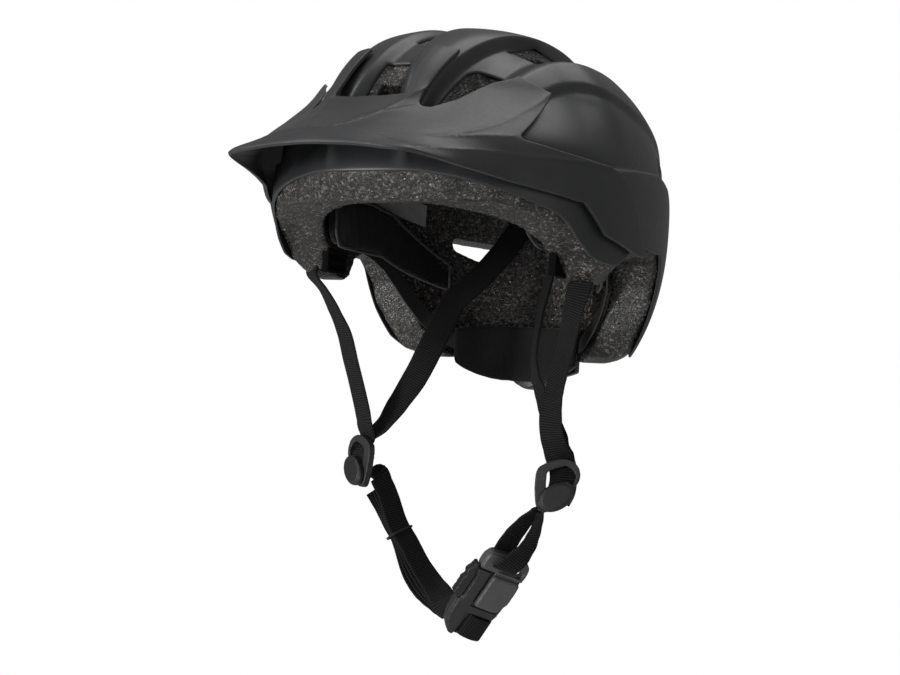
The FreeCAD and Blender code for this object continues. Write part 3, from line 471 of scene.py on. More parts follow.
def m_web(name="webbing_black", pitch=0.00148):
    # ribbed across its run; the map holds metres across and along
    m, nt, p = new_mat(name)
    uv = coords(nt, "UV")
    sep = node(nt, "ShaderNodeSeparateXYZ")
    nt.links.new(uv, sep.inputs[0])
    def wavef(sock, per, phase=0.0):
        a = node(nt, "ShaderNodeMath", operation="MULTIPLY")
        a.inputs[1].default_value = 2 * math.pi / per
        nt.links.new(sock, a.inputs[0])
        b = node(nt, "ShaderNodeMath", operation="SINE")
        nt.links.new(a.outputs[0], b.inputs[0])
        return b.outputs[0]
    rib = wavef(sep.outputs["Y"], pitch)
    yarn = wavef(sep.outputs["X"], 0.0008)
    mixf = node(nt, "ShaderNodeMath", operation="MULTIPLY")
    nt.links.new(rib, mixf.inputs[0])
    nt.links.new(yarn, mixf.inputs[1])
    hh = node(nt, "ShaderNodeMath", operation="MULTIPLY_ADD")
    nt.links.new(mixf.outputs[0], hh.inputs[0])
    hh.inputs[1].default_value = 0.35
    nt.links.new(rib, hh.inputs[2])
    mr = node(nt, "ShaderNodeMapRange", ins={"From Min": -1.3, "From Max": 1.3, "To Min": 0.0, "To Max": 1.0})
    nt.links.new(hh.outputs[0], mr.inputs["Value"])
    # colour follows the rib height: painted shade in the grooves between the ribs and painted highlight on their
    # crests
    c = ramp(nt, mr.outputs["Result"], [(0.0, g3(0.0006)), (0.40, g3(0.0017)), (0.72, g3(0.0080)), (1.0, (0.0255, 0.0245, 0.024))])
    v = coords(nt)
    fz = noise(nt, v, 160.0, 5.0, 0.65)
    k = ramp(nt, fz, [(0.3, g3(0.75)), (0.7, g3(1.2))])
    mul = node(nt, "ShaderNodeMix", data_type="RGBA", blend_type="MULTIPLY")
    mul.inputs[0].default_value = 1.0
    nt.links.new(c, mul.inputs[6])
    nt.links.new(k, mul.inputs[7])
    nt.links.new(mul.outputs[2], p.inputs["Base Color"])
    rough_from(nt, p, fz, 0.66, 0.84)
    p.inputs["Specular IOR Level"].default_value = 0.18
    p.inputs["Sheen Weight"].default_value = 0.02
    n1 = bump(nt, mr.outputs["Result"], 0.8, 0.00028)
    fine = noise(nt, v, 3200.0, 2.0, 0.5)
    n2 = bump(nt, fine, 0.3, 0.0001, n1)
    nt.links.new(n2, p.inputs["Normal"])
    return m

def m_steel():
    m, nt, p = new_mat("plain_steel")
    v = coords(nt)
    n1 = noise(nt, v, 500.0, 4.0, 0.6)
    c = ramp(nt, n1, [(0.3, (0.42, 0.42, 0.43)), (0.7, (0.60, 0.60, 0.61))])
    nt.links.new(c, p.inputs["Base Color"])
    p.inputs["Metallic"].default_value = 1.0
    rough_from(nt, p, n1, 0.28, 0.42)
    nt.links.new(bump(nt, noise(nt, v, 3000.0), 0.1, 0.0001), p.inputs["Normal"])
    return m

M = {}
M["shell"] = plastic("shell_satin_black", (0.0175, 0.018, 0.0195), (0.0225, 0.0232, 0.025), 0.36, 0.43, grain=3200.0, gstr=0.06)
M["visor"] = plastic("peak_matt_charcoal", (0.0185, 0.019, 0.0205), (0.024, 0.0247, 0.0265), 0.40, 0.48, grain=2600.0, gstr=0.10)
M["eps"] = m_eps()
M["pad"] = m_fabric("pad_brushed_knit", (0.0045, 0.0042, 0.0044), (0.0082, 0.0078, 0.008), sheen=0.07)
M["occ"] = m_fabric("occipital_pad_knit", (0.0085, 0.008, 0.0085), (0.0145, 0.0138, 0.0142), scale=1100.0, sheen=0.12)
M["pipe"] = m_fabric("pad_binding_grey", (0.05, 0.05, 0.052), (0.075, 0.075, 0.078), scale=1300.0, sheen=0.2)
M["web"] = m_web()
M["nylon"] = plastic("nylon_black", (0.0085, 0.0085, 0.009), (0.0125, 0.0125, 0.013), 0.36, 0.48, grain=2200.0, gstr=0.10, coarse=90.0)
M["nylon_face"] = plastic("nylon_black_face", (0.016, 0.016, 0.017), (0.022, 0.022, 0.0225), 0.42, 0.52, grain=2200.0, gstr=0.12, coarse=90.0)
M["band"] = plastic("band_plastic", (0.012, 0.012, 0.0125), (0.018, 0.018, 0.0185), 0.34, 0.44, coarse=60.0)
M["rubber"] = plastic("dial_soft_rubber", (0.010, 0.010, 0.010), (0.016, 0.016, 0.016), 0.62, 0.75, grain=1600.0, gstr=0.2, spec=0.35, coarse=120.0)
M["lever"] = plastic("nylon_black_lever", (0.0065, 0.0064, 0.0065), (0.010, 0.0098, 0.010), 0.42, 0.52, grain=2200.0, gstr=0.12, coarse=90.0)
# the buckle slide's black nylon made lighter grey: painted light for its face turned up to the lamps
M["plate"] = plastic("nylon_black_painted_lit", (0.056, 0.056, 0.057), (0.072, 0.072, 0.073), 0.42, 0.52, grain=2200.0, gstr=0.12, coarse=90.0)
M["dull"] = plastic("nylon_black_dull", (0.0022, 0.0022, 0.0023), (0.0038, 0.0038, 0.0039), 0.80, 0.92, grain=1800.0, gstr=0.2, spec=0.08, coarse=90.0)
M["steel"] = m_steel()
M["label"] = plastic("label_grey_paper", (0.20, 0.20, 0.205), (0.27, 0.27, 0.275), 0.45, 0.55, grain=1800.0, gstr=0.05, coarse=160.0)

def setmat(ob, *mats):
    ob.data.materials.clear()
    for m in mats:
        ob.data.materials.append(m)

NODES = frame["nodes"]
BODY = {n: b for b, ns in frame["record"]["behaviour"]["bodies"].items() for n in ns}

def stand(ob, node_name, body=None):
    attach(ob, body or BODY[node_name])
    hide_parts(node_name)
    return ob

def copy_node(node_name, name):
    me = NODES[node_name].data.copy()
    me.name = name
    ob = bpy.data.objects.new(name, me)
    SC.collection.objects.link(ob)
    for k in list(me.attributes.keys()):
        pass
    bm = bmesh.new()
    bm.from_mesh(me)
    bmesh.ops.remove_doubles(bm, verts=bm.verts, dist=1e-6)
    bm.to_mesh(me)
    bm.free()
    return ob

def co_of(ob):
    c = np.zeros(len(ob.data.vertices) * 3, np.float32)
    ob.data.vertices.foreach_get("co", c)
    return c.reshape(-1, 3).astype(float)

def set_co(ob, c):
    ob.data.vertices.foreach_set("co", c.astype(np.float32).ravel())
    ob.data.update()

def apply_mods(ob):
    dg = bpy.context.evaluated_depsgraph_get()
    me = bpy.data.meshes.new_from_object(ob.evaluated_get(dg))
    old = ob.data
    ob.modifiers.clear()
    ob.data = me
    me.name = ob.name
    if old.users == 0:
        bpy.data.meshes.remove(old)
    return ob

def voxel(ob, size, iters=3, factor=0.5, adapt=0.0):
    m = ob.modifiers.new("r", "REMESH")
    m.mode = "VOXEL"
    m.voxel_size = size
    m.adaptivity = adapt
    if iters:
        s = ob.modifiers.new("s", "SMOOTH")
        s.factor = factor
        s.iterations = iters
    apply_mods(ob)
    ob.data.polygons.foreach_set("use_smooth", [True] * len(ob.data.polygons))
    return ob

def moulded(node_name, size, mat, iters=3, factor=0.5, name=None):
    # a moulded piece: the same solid with eased edges
    ob = copy_node(node_name, name or node_name + "_moulded")
    voxel(ob, size, iters, factor)
    setmat(ob, mat)
    return stand(ob, node_name)

# ------------------------------------------------------------------ the upper front quarters set back
EYE = (np.array(CAM_T) + np.array(CAM_C) * 1.06) / MM
def recede(p, far=15.0):
    q = np.abs(p[:, 0])
    w = S((p[:, 2] - 28.0) / 34.0) * S((q - 25.0) / 27.0) * S((-12.0 - p[:, 1]) / 48.0)
    m = np.stack([q, p[:, 1], p[:, 2]], 1)
    d = m - EYE
    d /= np.linalg.norm(d, axis=1)[:, None]
    m = m + d * (w * far)[:, None]
    m[:, 0] = np.maximum(m[:, 0], np.where(q > 0.5, 0.2, 0.0)) * np.where(p[:, 0] < 0, -1.0, 1.0)
    return np.where((w > 0)[:, None], m, p)
def receded(ob):
    set_co(ob, recede(co_of(ob) / MM) * MM)

# ------------------------------------------------------------------ outer shell
def slerp_poly(D, step_deg=0.25):
    out = []
    D = D / np.linalg.norm(D, axis=1)[:, None]
    for i in range(len(D)):
        a, b = D[i], D[(i + 1) % len(D)]
        w = math.acos(max(-1, min(1, float(a @ b))))
        n = max(int(math.degrees(w) / step_deg), 2)
        for j in range(n):
            t = j / n
            out.append((math.sin((1 - t) * w) * a + math.sin(t * w) * b) / math.sin(w))
    return np.array(out)

def form_pt(x, b):
    br = math.radians(b)
    lo, hi = 0.0, 300.0
    for _ in range(50):
        m = (lo + hi) / 2
        y, z = m * math.sin(br), m * math.cos(br) - 30.0
        c = CU if z > ZC else CL
        f = (abs(x) / A) ** N + (abs(y) / B) ** N + (abs(z - ZC) / c) ** N
        lo, hi = (m, hi) if f < 1 else (lo, m)
    return (x, lo * math.sin(br), lo * math.cos(br) - 30.0)

def side_dir(az, z, r=120.0):
    a = math.radians(az)
    d = np.array([[math.sin(a), math.cos(a), (z - ZC) / r]])
    k = r_form(d)[0]
    return (d[0, 0] * k, d[0, 1] * k, d[0, 2] * k + ZC)

VENTS = [
    ([(29, -63), (36, -54), (42, -44.5), (46, -42.5), (63, -41.5), (63, -46), (57, -53), (47, -60), (39, -64)],
     [(42, -60), (46, -51), (50, -47), (59, -46), (60, -50), (52, -59)]),
    ([(47, -27), (68, -25), (70, -10), (70, 6), (48, 8), (46, -10)],
     [(52, -23), (63, -22), (65, -10), (65, 2), (52, 4), (51, -10)]),
    ([(44, 20), (66, 18), (63, 36), (57, 50), (36, 50), (41, 36)],
     [(48, 25), (61, 24), (58, 36), (53, 45), (41, 45), (45, 36)]),
]
CENTRE = [
    ([(-15, -63), (-11, -54), (-8, -44), (8, -44), (11, -54), (15, -63)],
     [(-8, -59), (-7, -50), (7, -50), (8, -59)]),
    ([(-5.5, -32), (-5.5, -15), (5.5, -15), (5.5, -32)],
     [(-3.5, -29), (-3.5, -18), (3.5, -18), (3.5, -29)]),
    ([(-7, 14), (-10, 40), (10, 40), (7, 14)],
     [(-4.5, 18), (-6.5, 36), (6.5, 36), (4.5, 18)]),
]
SIDES = [
    ([side_dir(12, 0), side_dir(44, 4), side_dir(42, -16), side_dir(26, -30), side_dir(12, -22)],
     [side_dir(18, -6), side_dir(36, -3), side_dir(35, -13), side_dir(25, -20), side_dir(18, -15)]),
    ([side_dir(50, 34), side_dir(66, 48), side_dir(68, 38), side_dir(58, 22), side_dir(48, 20)],
     [side_dir(53, 31), side_dir(63, 41), side_dir(64, 36), side_dir(57, 26), side_dir(52, 25)]),
]

def hole_poly(corners, soft=1.4):
    P = np.array(corners, float)
    d = slerp_poly(P - C0)
    st = undirs(d)
    st = closed_resample(st, 0.28)
    st = closed_smooth(st, soft / 2.0, 0.28)
    return closed_resample(st, 0.28)

holes, tunnels = [], []
for o, i in VENTS:
    for k in (1, -1):
        holes.append(hole_poly([form_pt(k * x, b) for x, b in o]))
        tunnels.append(hole_poly([form_pt(k * x, b) for x, b in i]))
for o, i in CENTRE:
    holes.append(hole_poly([form_pt(x, b) for x, b in o]))
    tunnels.append(hole_poly([form_pt(x, b) for x, b in i], 0.8))
for o, i in SIDES:
    for k in (1, -1):
        holes.append(hole_poly([(k * p[0], p[1], p[2]) for p in o]))
        tunnels.append(hole_poly([(k * p[0], p[1], p[2]) for p in i]))

ARCH = [(-32, -90), (-27, -67), (-19, -61.5), (19, -61.5), (27, -67), (32, -90)]
def rim_outline(rim, depth, step=0.5):
    phi = np.linspace(0, 2 * math.pi, 3600, endpoint=False)
    lo, hi = np.full(len(phi), 40.0), np.full(len(phi), 40.0)
    rho = np.full(len(phi), np.nan)
    archx = np.array([a[0] for a in ARCH]); archz = np.array([a[1] for a in ARCH])
    for r in np.arange(40, 135, 0.25):
        st = np.stack([np.cos(phi) * r, np.sin(phi) * r], 1)
        d, p = form_base(st)
        p = C0 + d * (r_form(d) - depth)[:, None]
        lim = tab(p[:, 1], rim)
        rear = p[:, 1] > 80
        lim = np.where(rear & (np.abs(p[:, 0]) < 32), np.maximum(lim, np.interp(p[:, 0], archx, archz)), lim)
        under = (p[:, 2] < lim) & np.isnan(rho)
        rho[under] = r - 0.125
    st = np.stack([np.cos(phi) * rho, np.sin(phi) * rho], 1)
    return st

out = rim_outline(SHELL_RIM, 0.0)
out = closed_resample(out, 0.3)
out = closed_smooth(out, 1.1, 0.3)
out = closed_resample(out, 0.3)

def shell_pos(st):
    return form_base(st)[1]

def shell_place(st, dist):
    d, p = form_base(st)
    R = 1.15
    q = np.clip(R - dist, 0, R)
    drop = R - np.sqrt(np.maximum(R * R - q * q, 0))
    rel = relief(p, 0.8)
    r = r_form(d) - rel
    return C0 + d * (r - drop * 0.9)[:, None], C0 + d * (r - SHELL_T - 0.05)[:, None]

shell = patch("shell_moulding", out, holes, shell_pos, shell_place, 0.72)
# the upper front quarters set back
receded(shell)
setmat(shell, M["shell"])
stand(shell, "outer_shell")

# ------------------------------------------------------------------ foam liner
liner = copy_node("eps_liner", "foam_liner")
voxel(liner, 0.0015, 4, 0.5)
c = co_of(liner) / MM
v = c - C0
r = np.linalg.norm(v, axis=1)
d = v / r[:, None]
rf = r_form(d)
base = C0 + d * rf[:, None]
lim = rf - relief(base, 0.8) - SHELL_T - 0.35
above = base[:, 2] > tab(base[:, 1], SHELL_RIM) - 1.5
r2 = np.where(above & (r > lim), lim, r)
# the openings' foam borders slope inwards
st = undirs(d)
depth = rf - relief(base, 0.8) - r
slope = np.zeros(len(r))
for h in holes:
    lo, hi = h.min(0) - 1, h.max(0) + 1
    idx = np.where(np.all((st > lo) & (st < hi), axis=1) & (depth < 14))[0]
    if not len(idx):
        continue
    ins = inside_poly(st[idx], h)
    idx = idx[ins]
    if not len(idx):
        continue
    kd = kdtree.KDTree(len(h))
    hp = shell_pos(h)
    for i, q in enumerate(hp):
        kd.insert(q, i)
    kd.balance()
    dd = np.array([kd.find(q)[2] for q in base[idx]])
    slope[idx] = np.minimum(dd * 0.42, 3.2) * (1 - S((depth[idx] - 4.0) / 9.0))
r2 = r2 - slope
set_co(liner, (C0 + d * r2[:, None]) * MM)
receded(liner)
setmat(liner, M["eps"])
stand(liner, "eps_liner")

# ------------------------------------------------------------------ peak
EDGE_Z = [(0, 17.5), (8, 16.8), (16.6, 14.5), (24, 10.7), (29.5, 8.6), (36, 6.3), (44, 4.2), (55.3, 1.2), (58, -2.0), (61.7, -10.3), (64.5, -14.8), (72, -18), (83.7, -22.8), (100, -22.8)]
OFFS = [
    (0.0, [(0, 58.7), (8.5, 50.5), (16, 36), (25, 20), (34.5, 10.2), (50, 7.0), (67, 6.0), (90, 6.0)]),
    (9.0, [(0, 57.5), (8, 48), (16, 33), (25, 18), (33, 10), (49, 7.0), (67, 6.0), (90, 6.0)]),
    (16.6, [(0, 60.5), (5, 46), (11, 34), (17, 25), (23, 18), (30, 12), (45, 7), (70, 5.5), (90, 5.5)]),
    (24.0, [(0, 29.5), (5, 28.5), (9, 26.5), (17, 21), (26, 14.5), (36, 9.5), (50, 6.5), (90, 5.5)]),
    (29.5, [(0, 16.0), (12, 18.0), (21, 15.5), (30, 11), (40, 8), (50, 6.5), (90, 5.5)]),
    (36.0, [(0, 6.5), (9, 10.5), (18, 12.0), (26, 10.5), (34, 8.0), (44, 6.0), (90, 5.5)]),
    (44.0, [(0, 4.6), (14, 8.0), (22, 8.0), (30, 6.8), (40, 5.5), (90, 5.5)]),
    (55.0, [(0, 4.6), (24, 5.2), (90, 5.0)]),
    (66.0, [(0, 5.2), (30, 4.8), (90, 4.8)]),
    (100.0, [(0, 4.8), (90, 4.8)]),
]
PLAIN = [
    OFFS[0], OFFS[1],
    (16.6, [(0, 55), (5, 40), (11, 26.5), (17, 17.5), (23, 12.5), (30, 9), (45, 6.5), (70, 5.5), (90, 5.5)]),
    (24.0, [(0, 33), (9, 21), (17, 13.5), (26, 9.5), (36, 7.5), (50, 6.5), (90, 5.5)]),
    (29.5, [(0, 23), (12, 15.0), (21, 10.0), (34, 7.5), (50, 6.5), (90, 5.5)]),
    (36.0, [(0, 15), (18, 9.0), (26, 7.0), (40, 6.0), (90, 5.5)]),
    (44.0, [(0, 9.6), (22, 6.0), (40, 5.5), (90, 5.5)]),
    (55.0, [(0, 6.4), (24, 5.0), (90, 5.0)]),
    OFFS[-2], OFFS[-1],
]
_pa = np.arange(-110.0, 110.1, 1.0)
_ph = np.arange(-6.0, 100.1, 0.5)
def gauss(a, sig, axis):
    n = int(3 * sig) + 1
    k = np.exp(-0.5 * (np.arange(-n, n + 1) / sig) ** 2)
    k /= k.sum()
    pad = [(0, 0), (0, 0)]
    pad[axis] = (n, n)
    b = np.pad(a, pad, mode="reflect", reflect_type="odd")
    return np.apply_along_axis(lambda q: np.convolve(q, k, mode="valid"), axis, b)
def table(T):
    g = np.zeros((len(_pa), len(_ph)))
    rows = np.array([tab(_ph, t) for _, t in T])
    ang = np.array([a for a, _ in T])
    for i, a in enumerate(_pa):
        a = abs(a)
        j = min(max(int(np.searchsorted(ang, a)), 1), len(ang) - 1)
        k = min((a - ang[j - 1]) / (ang[j] - ang[j - 1]), 1.0)
        g[i] = rows[j - 1] * (1 - k) + rows[j] * k
    return gauss(gauss(g, 1.6, 0), 3.0, 1)
_gs, _g0 = table(OFFS), table(PLAIN)

def offs(psi, h, G=None):
    G = _gs if G is None else G
    x = np.clip(psi + 110.0, 0, 219.999)
    y = np.clip((h + 6.0) / 0.5, 0, len(_ph) - 1.001)
    i, j = x.astype(int), y.astype(int)
    fx, fy = x - i, y - j
    return (G[i, j] * (1 - fx) * (1 - fy) + G[i + 1, j] * fx * (1 - fy) + G[i, j + 1] * (1 - fx) * fy + G[i + 1, j + 1] * fx * fy)

edge_z = soft_tab([(-a, z) for a, z in EDGE_Z[::-1][:-1]] + EDGE_Z, 1.0, 0.1)

def hr(psi, z):
    c = np.where(z > ZC, CU, CL)
    k = np.maximum(1.0 - (np.abs(z - ZC) / c) ** N, 0.02)
    s, q = np.abs(np.sin(psi)), np.abs(np.cos(psi))
    return k ** (1 / N) * ((s / A) ** N + (q / B) ** N) ** (-1.0 / N)

def peak_r(psi, z, G=None):
    return hr(np.radians(psi), z) + offs(psi, z - edge_z(psi), G)

def onto(psi, z):
    # a point of the plain profile carried along its line of sight onto the full one
    r = peak_r(np.array([psi]), np.array([z]), _g0)[0]
    a = math.radians(psi)
    P = np.array([r * math.sin(a), -r * math.cos(a), z])
    u = (EYE - P) / np.linalg.norm(EYE - P)
    lo, hi = -12.0, 32.0
    for _ in range(24):
        t = (lo + hi) / 2
        Q = P + u * t
        if math.hypot(Q[0], Q[1]) < peak_r(np.array([math.degrees(math.atan2(Q[0], -Q[1]))]), np.array([Q[2]]))[0]:
            lo = t
        else:
            hi = t
    Q = P + u * lo
    return math.degrees(math.atan2(Q[0], -Q[1])), Q[2]

UX, UZ = 0.5, 1.0      # domain units: psi / 0.5 per unit, z in mm
def peak_base(uv):
    psi, z = uv[:, 0] * UX, uv[:, 1] * UZ
    r = peak_r(psi, z)
    a = np.radians(psi)
    return np.stack([r * np.sin(a), -r * np.cos(a), z], 1)

def at_x(x, z):
    lo, hi = 0.0, 85.0
    for _ in range(40):
        m = (lo + hi) / 2
        if peak_r(np.array([m]), np.array([z]), _g0)[0] * math.sin(math.radians(m)) < x:
            lo = m
        else:
            hi = m
    a, b = onto(lo, z) if x > 12 else (lo, z)
    return (a / UX, b / UZ)

def at_y(y, z):
    # y is negative: towards the front
    lo, hi = 0.0, 100.0
    for _ in range(40):
        m = (lo + hi) / 2
        if peak_r(np.array([m]), np.array([z]), _g0)[0] * math.cos(math.radians(m)) > -y:
            lo = m
        else:
            hi = m
    a, b = onto(lo, z)
    return (a / UX, b / UZ)

def dense(P, n=8):
    out = []
    for a, b in zip(P[:-1], P[1:]):
        for j in range(n):
            t = j / n
            out.append((a[0] + (b[0] - a[0]) * t, a[1] + (b[1] - a[1]) * t))
    out.append(P[-1])
    return out

SIDE_EDGE = [(-30, 16), (-18.5, -1.5), (-12, -13), (-5, -19.5), (-9, -22.3), (-14, -22.5), (-52.5, -14.8), (-58, -10.3), (-72.5, 1.2)]
def half_outline(side):
    h = [(0.0, 51.5)]
    h += [at_x(x, z) for x, z in dense([(0.5, 51.5), (8, 51.5), (22, 53), (19.5, 86), (22, 86.2), (36, 83.5), (36.5, 82), (31.5, 53), (31.5, 48), (34, 45.5), (38, 45), (49, 50.5), (61, 62)])]
    h += [at_y(y, z) for y, z in dense([(-95.5, 67.0), (-93.8, 68.5), (-81, 59.8)] + side + SIDE_EDGE)]
    pp = np.arange(54.0, 0.0, -1.0)
    h += [(a / UX, float(edge_z(np.array([a]))[0])) for a in pp]
    h += [(0.0, float(edge_z(np.array([0.0]))[0]))]
    return np.array(h)
H = half_outline([(-107.5, 33), (-106.5, 31), (-85, 27.5), (-62, 25.2), (-53, 24.6), (-40.5, 22.6)])
Hm = half_outline([(-93, 45), (-91, 43), (-80, 40), (-62, 37), (-50, 33), (-40.5, 24.6)])[::-1][1:-1].copy()
Hm[:, 0] *= -1
peak_out = np.vstack([H, Hm])
peak_out = closed_resample(peak_out, 0.45)
peak_out = closed_smooth(peak_out, 0.7, 0.45)
peak_out = closed_resample(peak_out, 0.45)

def normals_of(fun, uv, e=0.15):
    a = fun(uv + np.array([e, 0])) - fun(uv - np.array([e, 0]))
    b = fun(uv + np.array([0, e])) - fun(uv - np.array([0, e]))
    n = np.cross(a, b)
    n /= np.maximum(np.linalg.norm(n, axis=1), 1e-9)[:, None]
    return n

def line_st(L):
    # (psi, z) corners to a dense domain line
    L = [onto(a, z) if a > 5 else (a, z) for a, z in L]
    L = np.array([(a / UX, z / UZ) for a, z in L], float)
    return closed_resample(np.array(crom(L, np.zeros((len(L), 3)), 10)[0]), 0.6, closed=False)
CREASES = [
    (line_st([(17.3, 62.5), (14.0, 56.0), (11.0, 51.6), (6.6, 38.1), (4.1, 30.6), (1.5, 26.4)]), 0.66, 1.4),
    (line_st([(12.9, 44.6), (8.5, 41.0), (5.5, 37.2), (3.7, 32.0), (1.5, 26.4)]), 0.55, 1.4),
    (line_st([(45.6, 60.0), (41.4, 52.7), (38.0, 47.9), (33.5, 40.9), (29.3, 35.8), (23.0, 30.0), (17.5, 25.5)]), 0.62, 1.4),
    (line_st([(34.8, 31.8), (28.0, 30.2), (22.0, 28.0), (17.5, 25.5)]), 0.55, 1.4),
    (line_st([(0.0, 26.4), (1.5, 26.3), (4.8, 26.0), (8.5, 23.6), (13.5, 19.4), (16.4, 16.4)]), 0.55, 1.4),
    (line_st([(16.4, 16.4), (21.5, 19.3), (29.5, 21.0), (40.0, 21.8), (51.0, 23.0), (58.4, 23.9), (66.0, 23.5)]), 0.62, 1.4),
]
def peak_place(uv, dist):
    p = peak_base(uv)
    n = normals_of(peak_base, uv)
    psi = np.radians(uv[:, 0] * UX)
    o = np.stack([np.sin(psi), -np.cos(psi), np.full(len(psi), 0.8)], 1)
    n[np.sum(n * o, 1) < 0] *= -1
    R = 0.9
    q = np.clip(R - dist, 0, R)
    drop = R - np.sqrt(np.maximum(R * R - q * q, 0))
    lift = np.zeros(len(uv))
    for line, h, w in CREASES:
        for sgn in (1, -1):
            L = line[::2] * np.array([sgn, 1])
            P = peak_base(L)
            best = np.full(len(uv), 1e9)
            for a, b in zip(P[:-1], P[1:]):
                ab = b - a
                t = np.clip(((p - a) @ ab) / max(ab @ ab, 1e-9), 0, 1)
                best = np.minimum(best, np.linalg.norm(p - a - t[:, None] * ab, axis=1))
            lift = np.maximum(lift, h * np.exp(-best / w))
    T = 2.2
    return p + n * (lift - drop)[:, None], p - n * (T - np.clip(lift, 0, 1) * 0.4)[:, None]

extra = []
for L, _, _ in CREASES:
    for sg in (1, -1):
        q = L[1:-1] * np.array([sg, 1])
        if sg < 0 and abs(L[0][0]) < 0.1:
            q = q[1:]
        extra.append(q)
peak = patch("peak_moulding", peak_out, [], peak_base, peak_place, 0.8, rings=(0.0, 0.1, 0.3, 0.6, 1.0), extra=extra)
receded(peak)
setmat(peak, M["visor"])
stand(peak, "visor")

# ------------------------------------------------------------------ webbing
def ruc(R, U, C):
    return np.array(CAM_R) * R + np.array(CAM_U) * U + np.array(CAM_C) * C

def ribbon(name, P, W, width=16.0, thick=1.5, step=1.2, camber=0.0, ruffle=0.05, curl=0.0):
    P, W = crom(P, W, 24)
    seg = np.linalg.norm(np.diff(P, axis=0), axis=1)
    L = np.concatenate([[0], np.cumsum(seg)])
    n = int(L[-1] / step) + 1
    t = np.linspace(0, L[-1], n)
    P = np.stack([np.interp(t, L, P[:, k]) for k in range(3)], 1)
    W = np.stack([np.interp(t, L, W[:, k]) for k in range(3)], 1)
    T = np.gradient(P, axis=0)
    T /= np.linalg.norm(T, axis=1)[:, None]
    W = W - T * np.sum(W * T, 1)[:, None]
    W /= np.linalg.norm(W, axis=1)[:, None]
    Nn = np.cross(T, W)
    # rounded flat section with a selvedge along both borders
    hw, ht = width / 2, thick / 2
    sec = []
    m = 13
    for i in range(m):
        a = -1 + 2 * i / (m - 1)
        x = (hw - 0.45) * a
        sec.append((x, ht * (1 - 0.22 * a ** 8) + (0.10 if abs(a) > 0.8 else 0.0), x))
    sec.append((hw - 0.12, ht * 0.45, hw))
    sec.append((hw, 0.0, hw))
    sec.append((hw - 0.12, -ht * 0.45, hw))
    for i in range(m):
        a = 1 - 2 * i / (m - 1)
        x = (hw - 0.45) * a
        sec.append((x, -ht * (1 - 0.22 * a ** 8) - (0.10 if abs(a) > 0.8 else 0.0), x))
    sec.append((-hw + 0.12, -ht * 0.45, -hw))
    sec.append((-hw, 0.0, -hw))
    sec.append((-hw + 0.12, ht * 0.45, -hw))
    q = len(sec)
    vs, uvs = [], []
    for i in range(n):
        wob = ruffle * math.sin(t[i] * 0.9) + ruffle * 0.7 * math.sin(t[i] * 2.3 + 1.0)
        for x, y, u in sec:
            xx = x * (1 + wob / width)
            yy = y - camber * (1 - (x / hw) ** 2) + curl * math.sin(t[i] * 0.31 + x * 0.2)
            vs.append(P[i] + W[i] * xx + Nn[i] * yy)
            uvs.append((u * MM, t[i] * MM))
    faces = []
    for i in range(n - 1):
        for j in range(q):
            k = (j + 1) % q
            faces.append((i * q + j, i * q + k, (i + 1) * q + k, (i + 1) * q + j))
    faces.append(tuple(range(q))[::-1])
    faces.append(tuple((n - 1) * q + j for j in range(q)))
    me = bpy.data.meshes.new(name)
    me.from_pydata([tuple(v * MM) for v in vs], [], faces)
    uvl = me.uv_layers.new(name="UVMap")
    lv = np.zeros(len(me.loops), np.int32)
    me.loops.foreach_get("vertex_index", lv)
    uvl.data.foreach_set("uv", np.array(uvs, np.float32)[lv].ravel())
    me.update()
    ob = bpy.data.objects.new(name, me)
    SC.collection.objects.link(ob)
    bm = bmesh.new()
    bm.from_mesh(me)
    bmesh.ops.recalc_face_normals(bm, faces=bm.faces)
    bm.to_mesh(me)
    bm.free()
    smooth(ob, 60)
    setmat(ob, M["web"])
    return ob

def div_fr(k):
    # local frame of a divider: q across its face, z up it, y out of the face
    a, b = math.radians(-152.0), math.radians(-7.0)
    Rz = np.array([[math.cos(a), -math.sin(a), 0], [math.sin(a), math.cos(a), 0], [0, 0, 1]])
    Rx = np.array([[1, 0, 0], [0, math.cos(b), -math.sin(b)], [0, math.sin(b), math.cos(b)]])
    Dm = Rx @ Rz
    def fr(q, z, y):
        p = Dm @ np.array([-q, y, z])
        return np.array([k * (66.0 + p[0]), -8.0 + p[1], -153.0 - 3.0 * k + p[2]])
    return fr
DL, DR = div_fr(1), div_fr(-1)
def axis_of(fr, q, z, y):
    v = fr(q, z, y) - fr(0, 0, 0)
    return v / np.linalg.norm(v)
QL, QR = axis_of(DL, 1, 0, 0), axis_of(DR, 1, 0, 0)

INTO = [(1.5, 15.0, -3.0), (3.8, 9.5, -2.7), (4.6, 3.5, -0.6), (4.0, -3.0, 0.6), (2.0, -9.0, 0.9)]
INTO2 = [(2.5, 15.5, -4.6), (4.4, 9.5, -4.3), (5.0, 3.5, -2.4), (4.5, -3.0, -1.0), (2.5, -8.0, -0.7)]
webs = {}
P = [(86.8, -28.5, -26.0), (85.6, -29.0, -36.0), (84.2, -31.2, -45.5), (82.4, -31.5, -53.1), (80.2, -29.8, -61.5), (77.6, -26.5, -69.0), (74.3, -22.5, -77.5),
     (71.4, -19.8, -85.2), (68.2, -17.3, -93.9), (65.8, -15.7, -101.7), (64.2, -14.7, -109.5), (63.2, -13.0, -117.3), (63.2, -11.0, -125.1), (64.2, -8.6, -131.5)]
W = [ruc(*w) for w in [(0.8, -0.3, 0.55), (0.8, -0.3, 0.6), (0.76, -0.25, 0.64), (0.66, -0.2, 0.74), (0.58, -0.15, 0.8), (0.5, -0.1, 0.86), (0.5, -0.1, 0.86),
     (0.5, -0.1, 0.86), (0.54, -0.08, 0.84), (0.6, -0.05, 0.8), (0.7, 0, 0.7), (0.79, 0, 0.61), (0.82, 0, 0.57), (0.9, -0.05, 0.4)]]
P += [DL(*a) for a in INTO]; W += [QL] * len(INTO)
webs["front_left"] = (P, W, (84.2, -31.2, -45.5), (64.2, -8.6, -131.5))
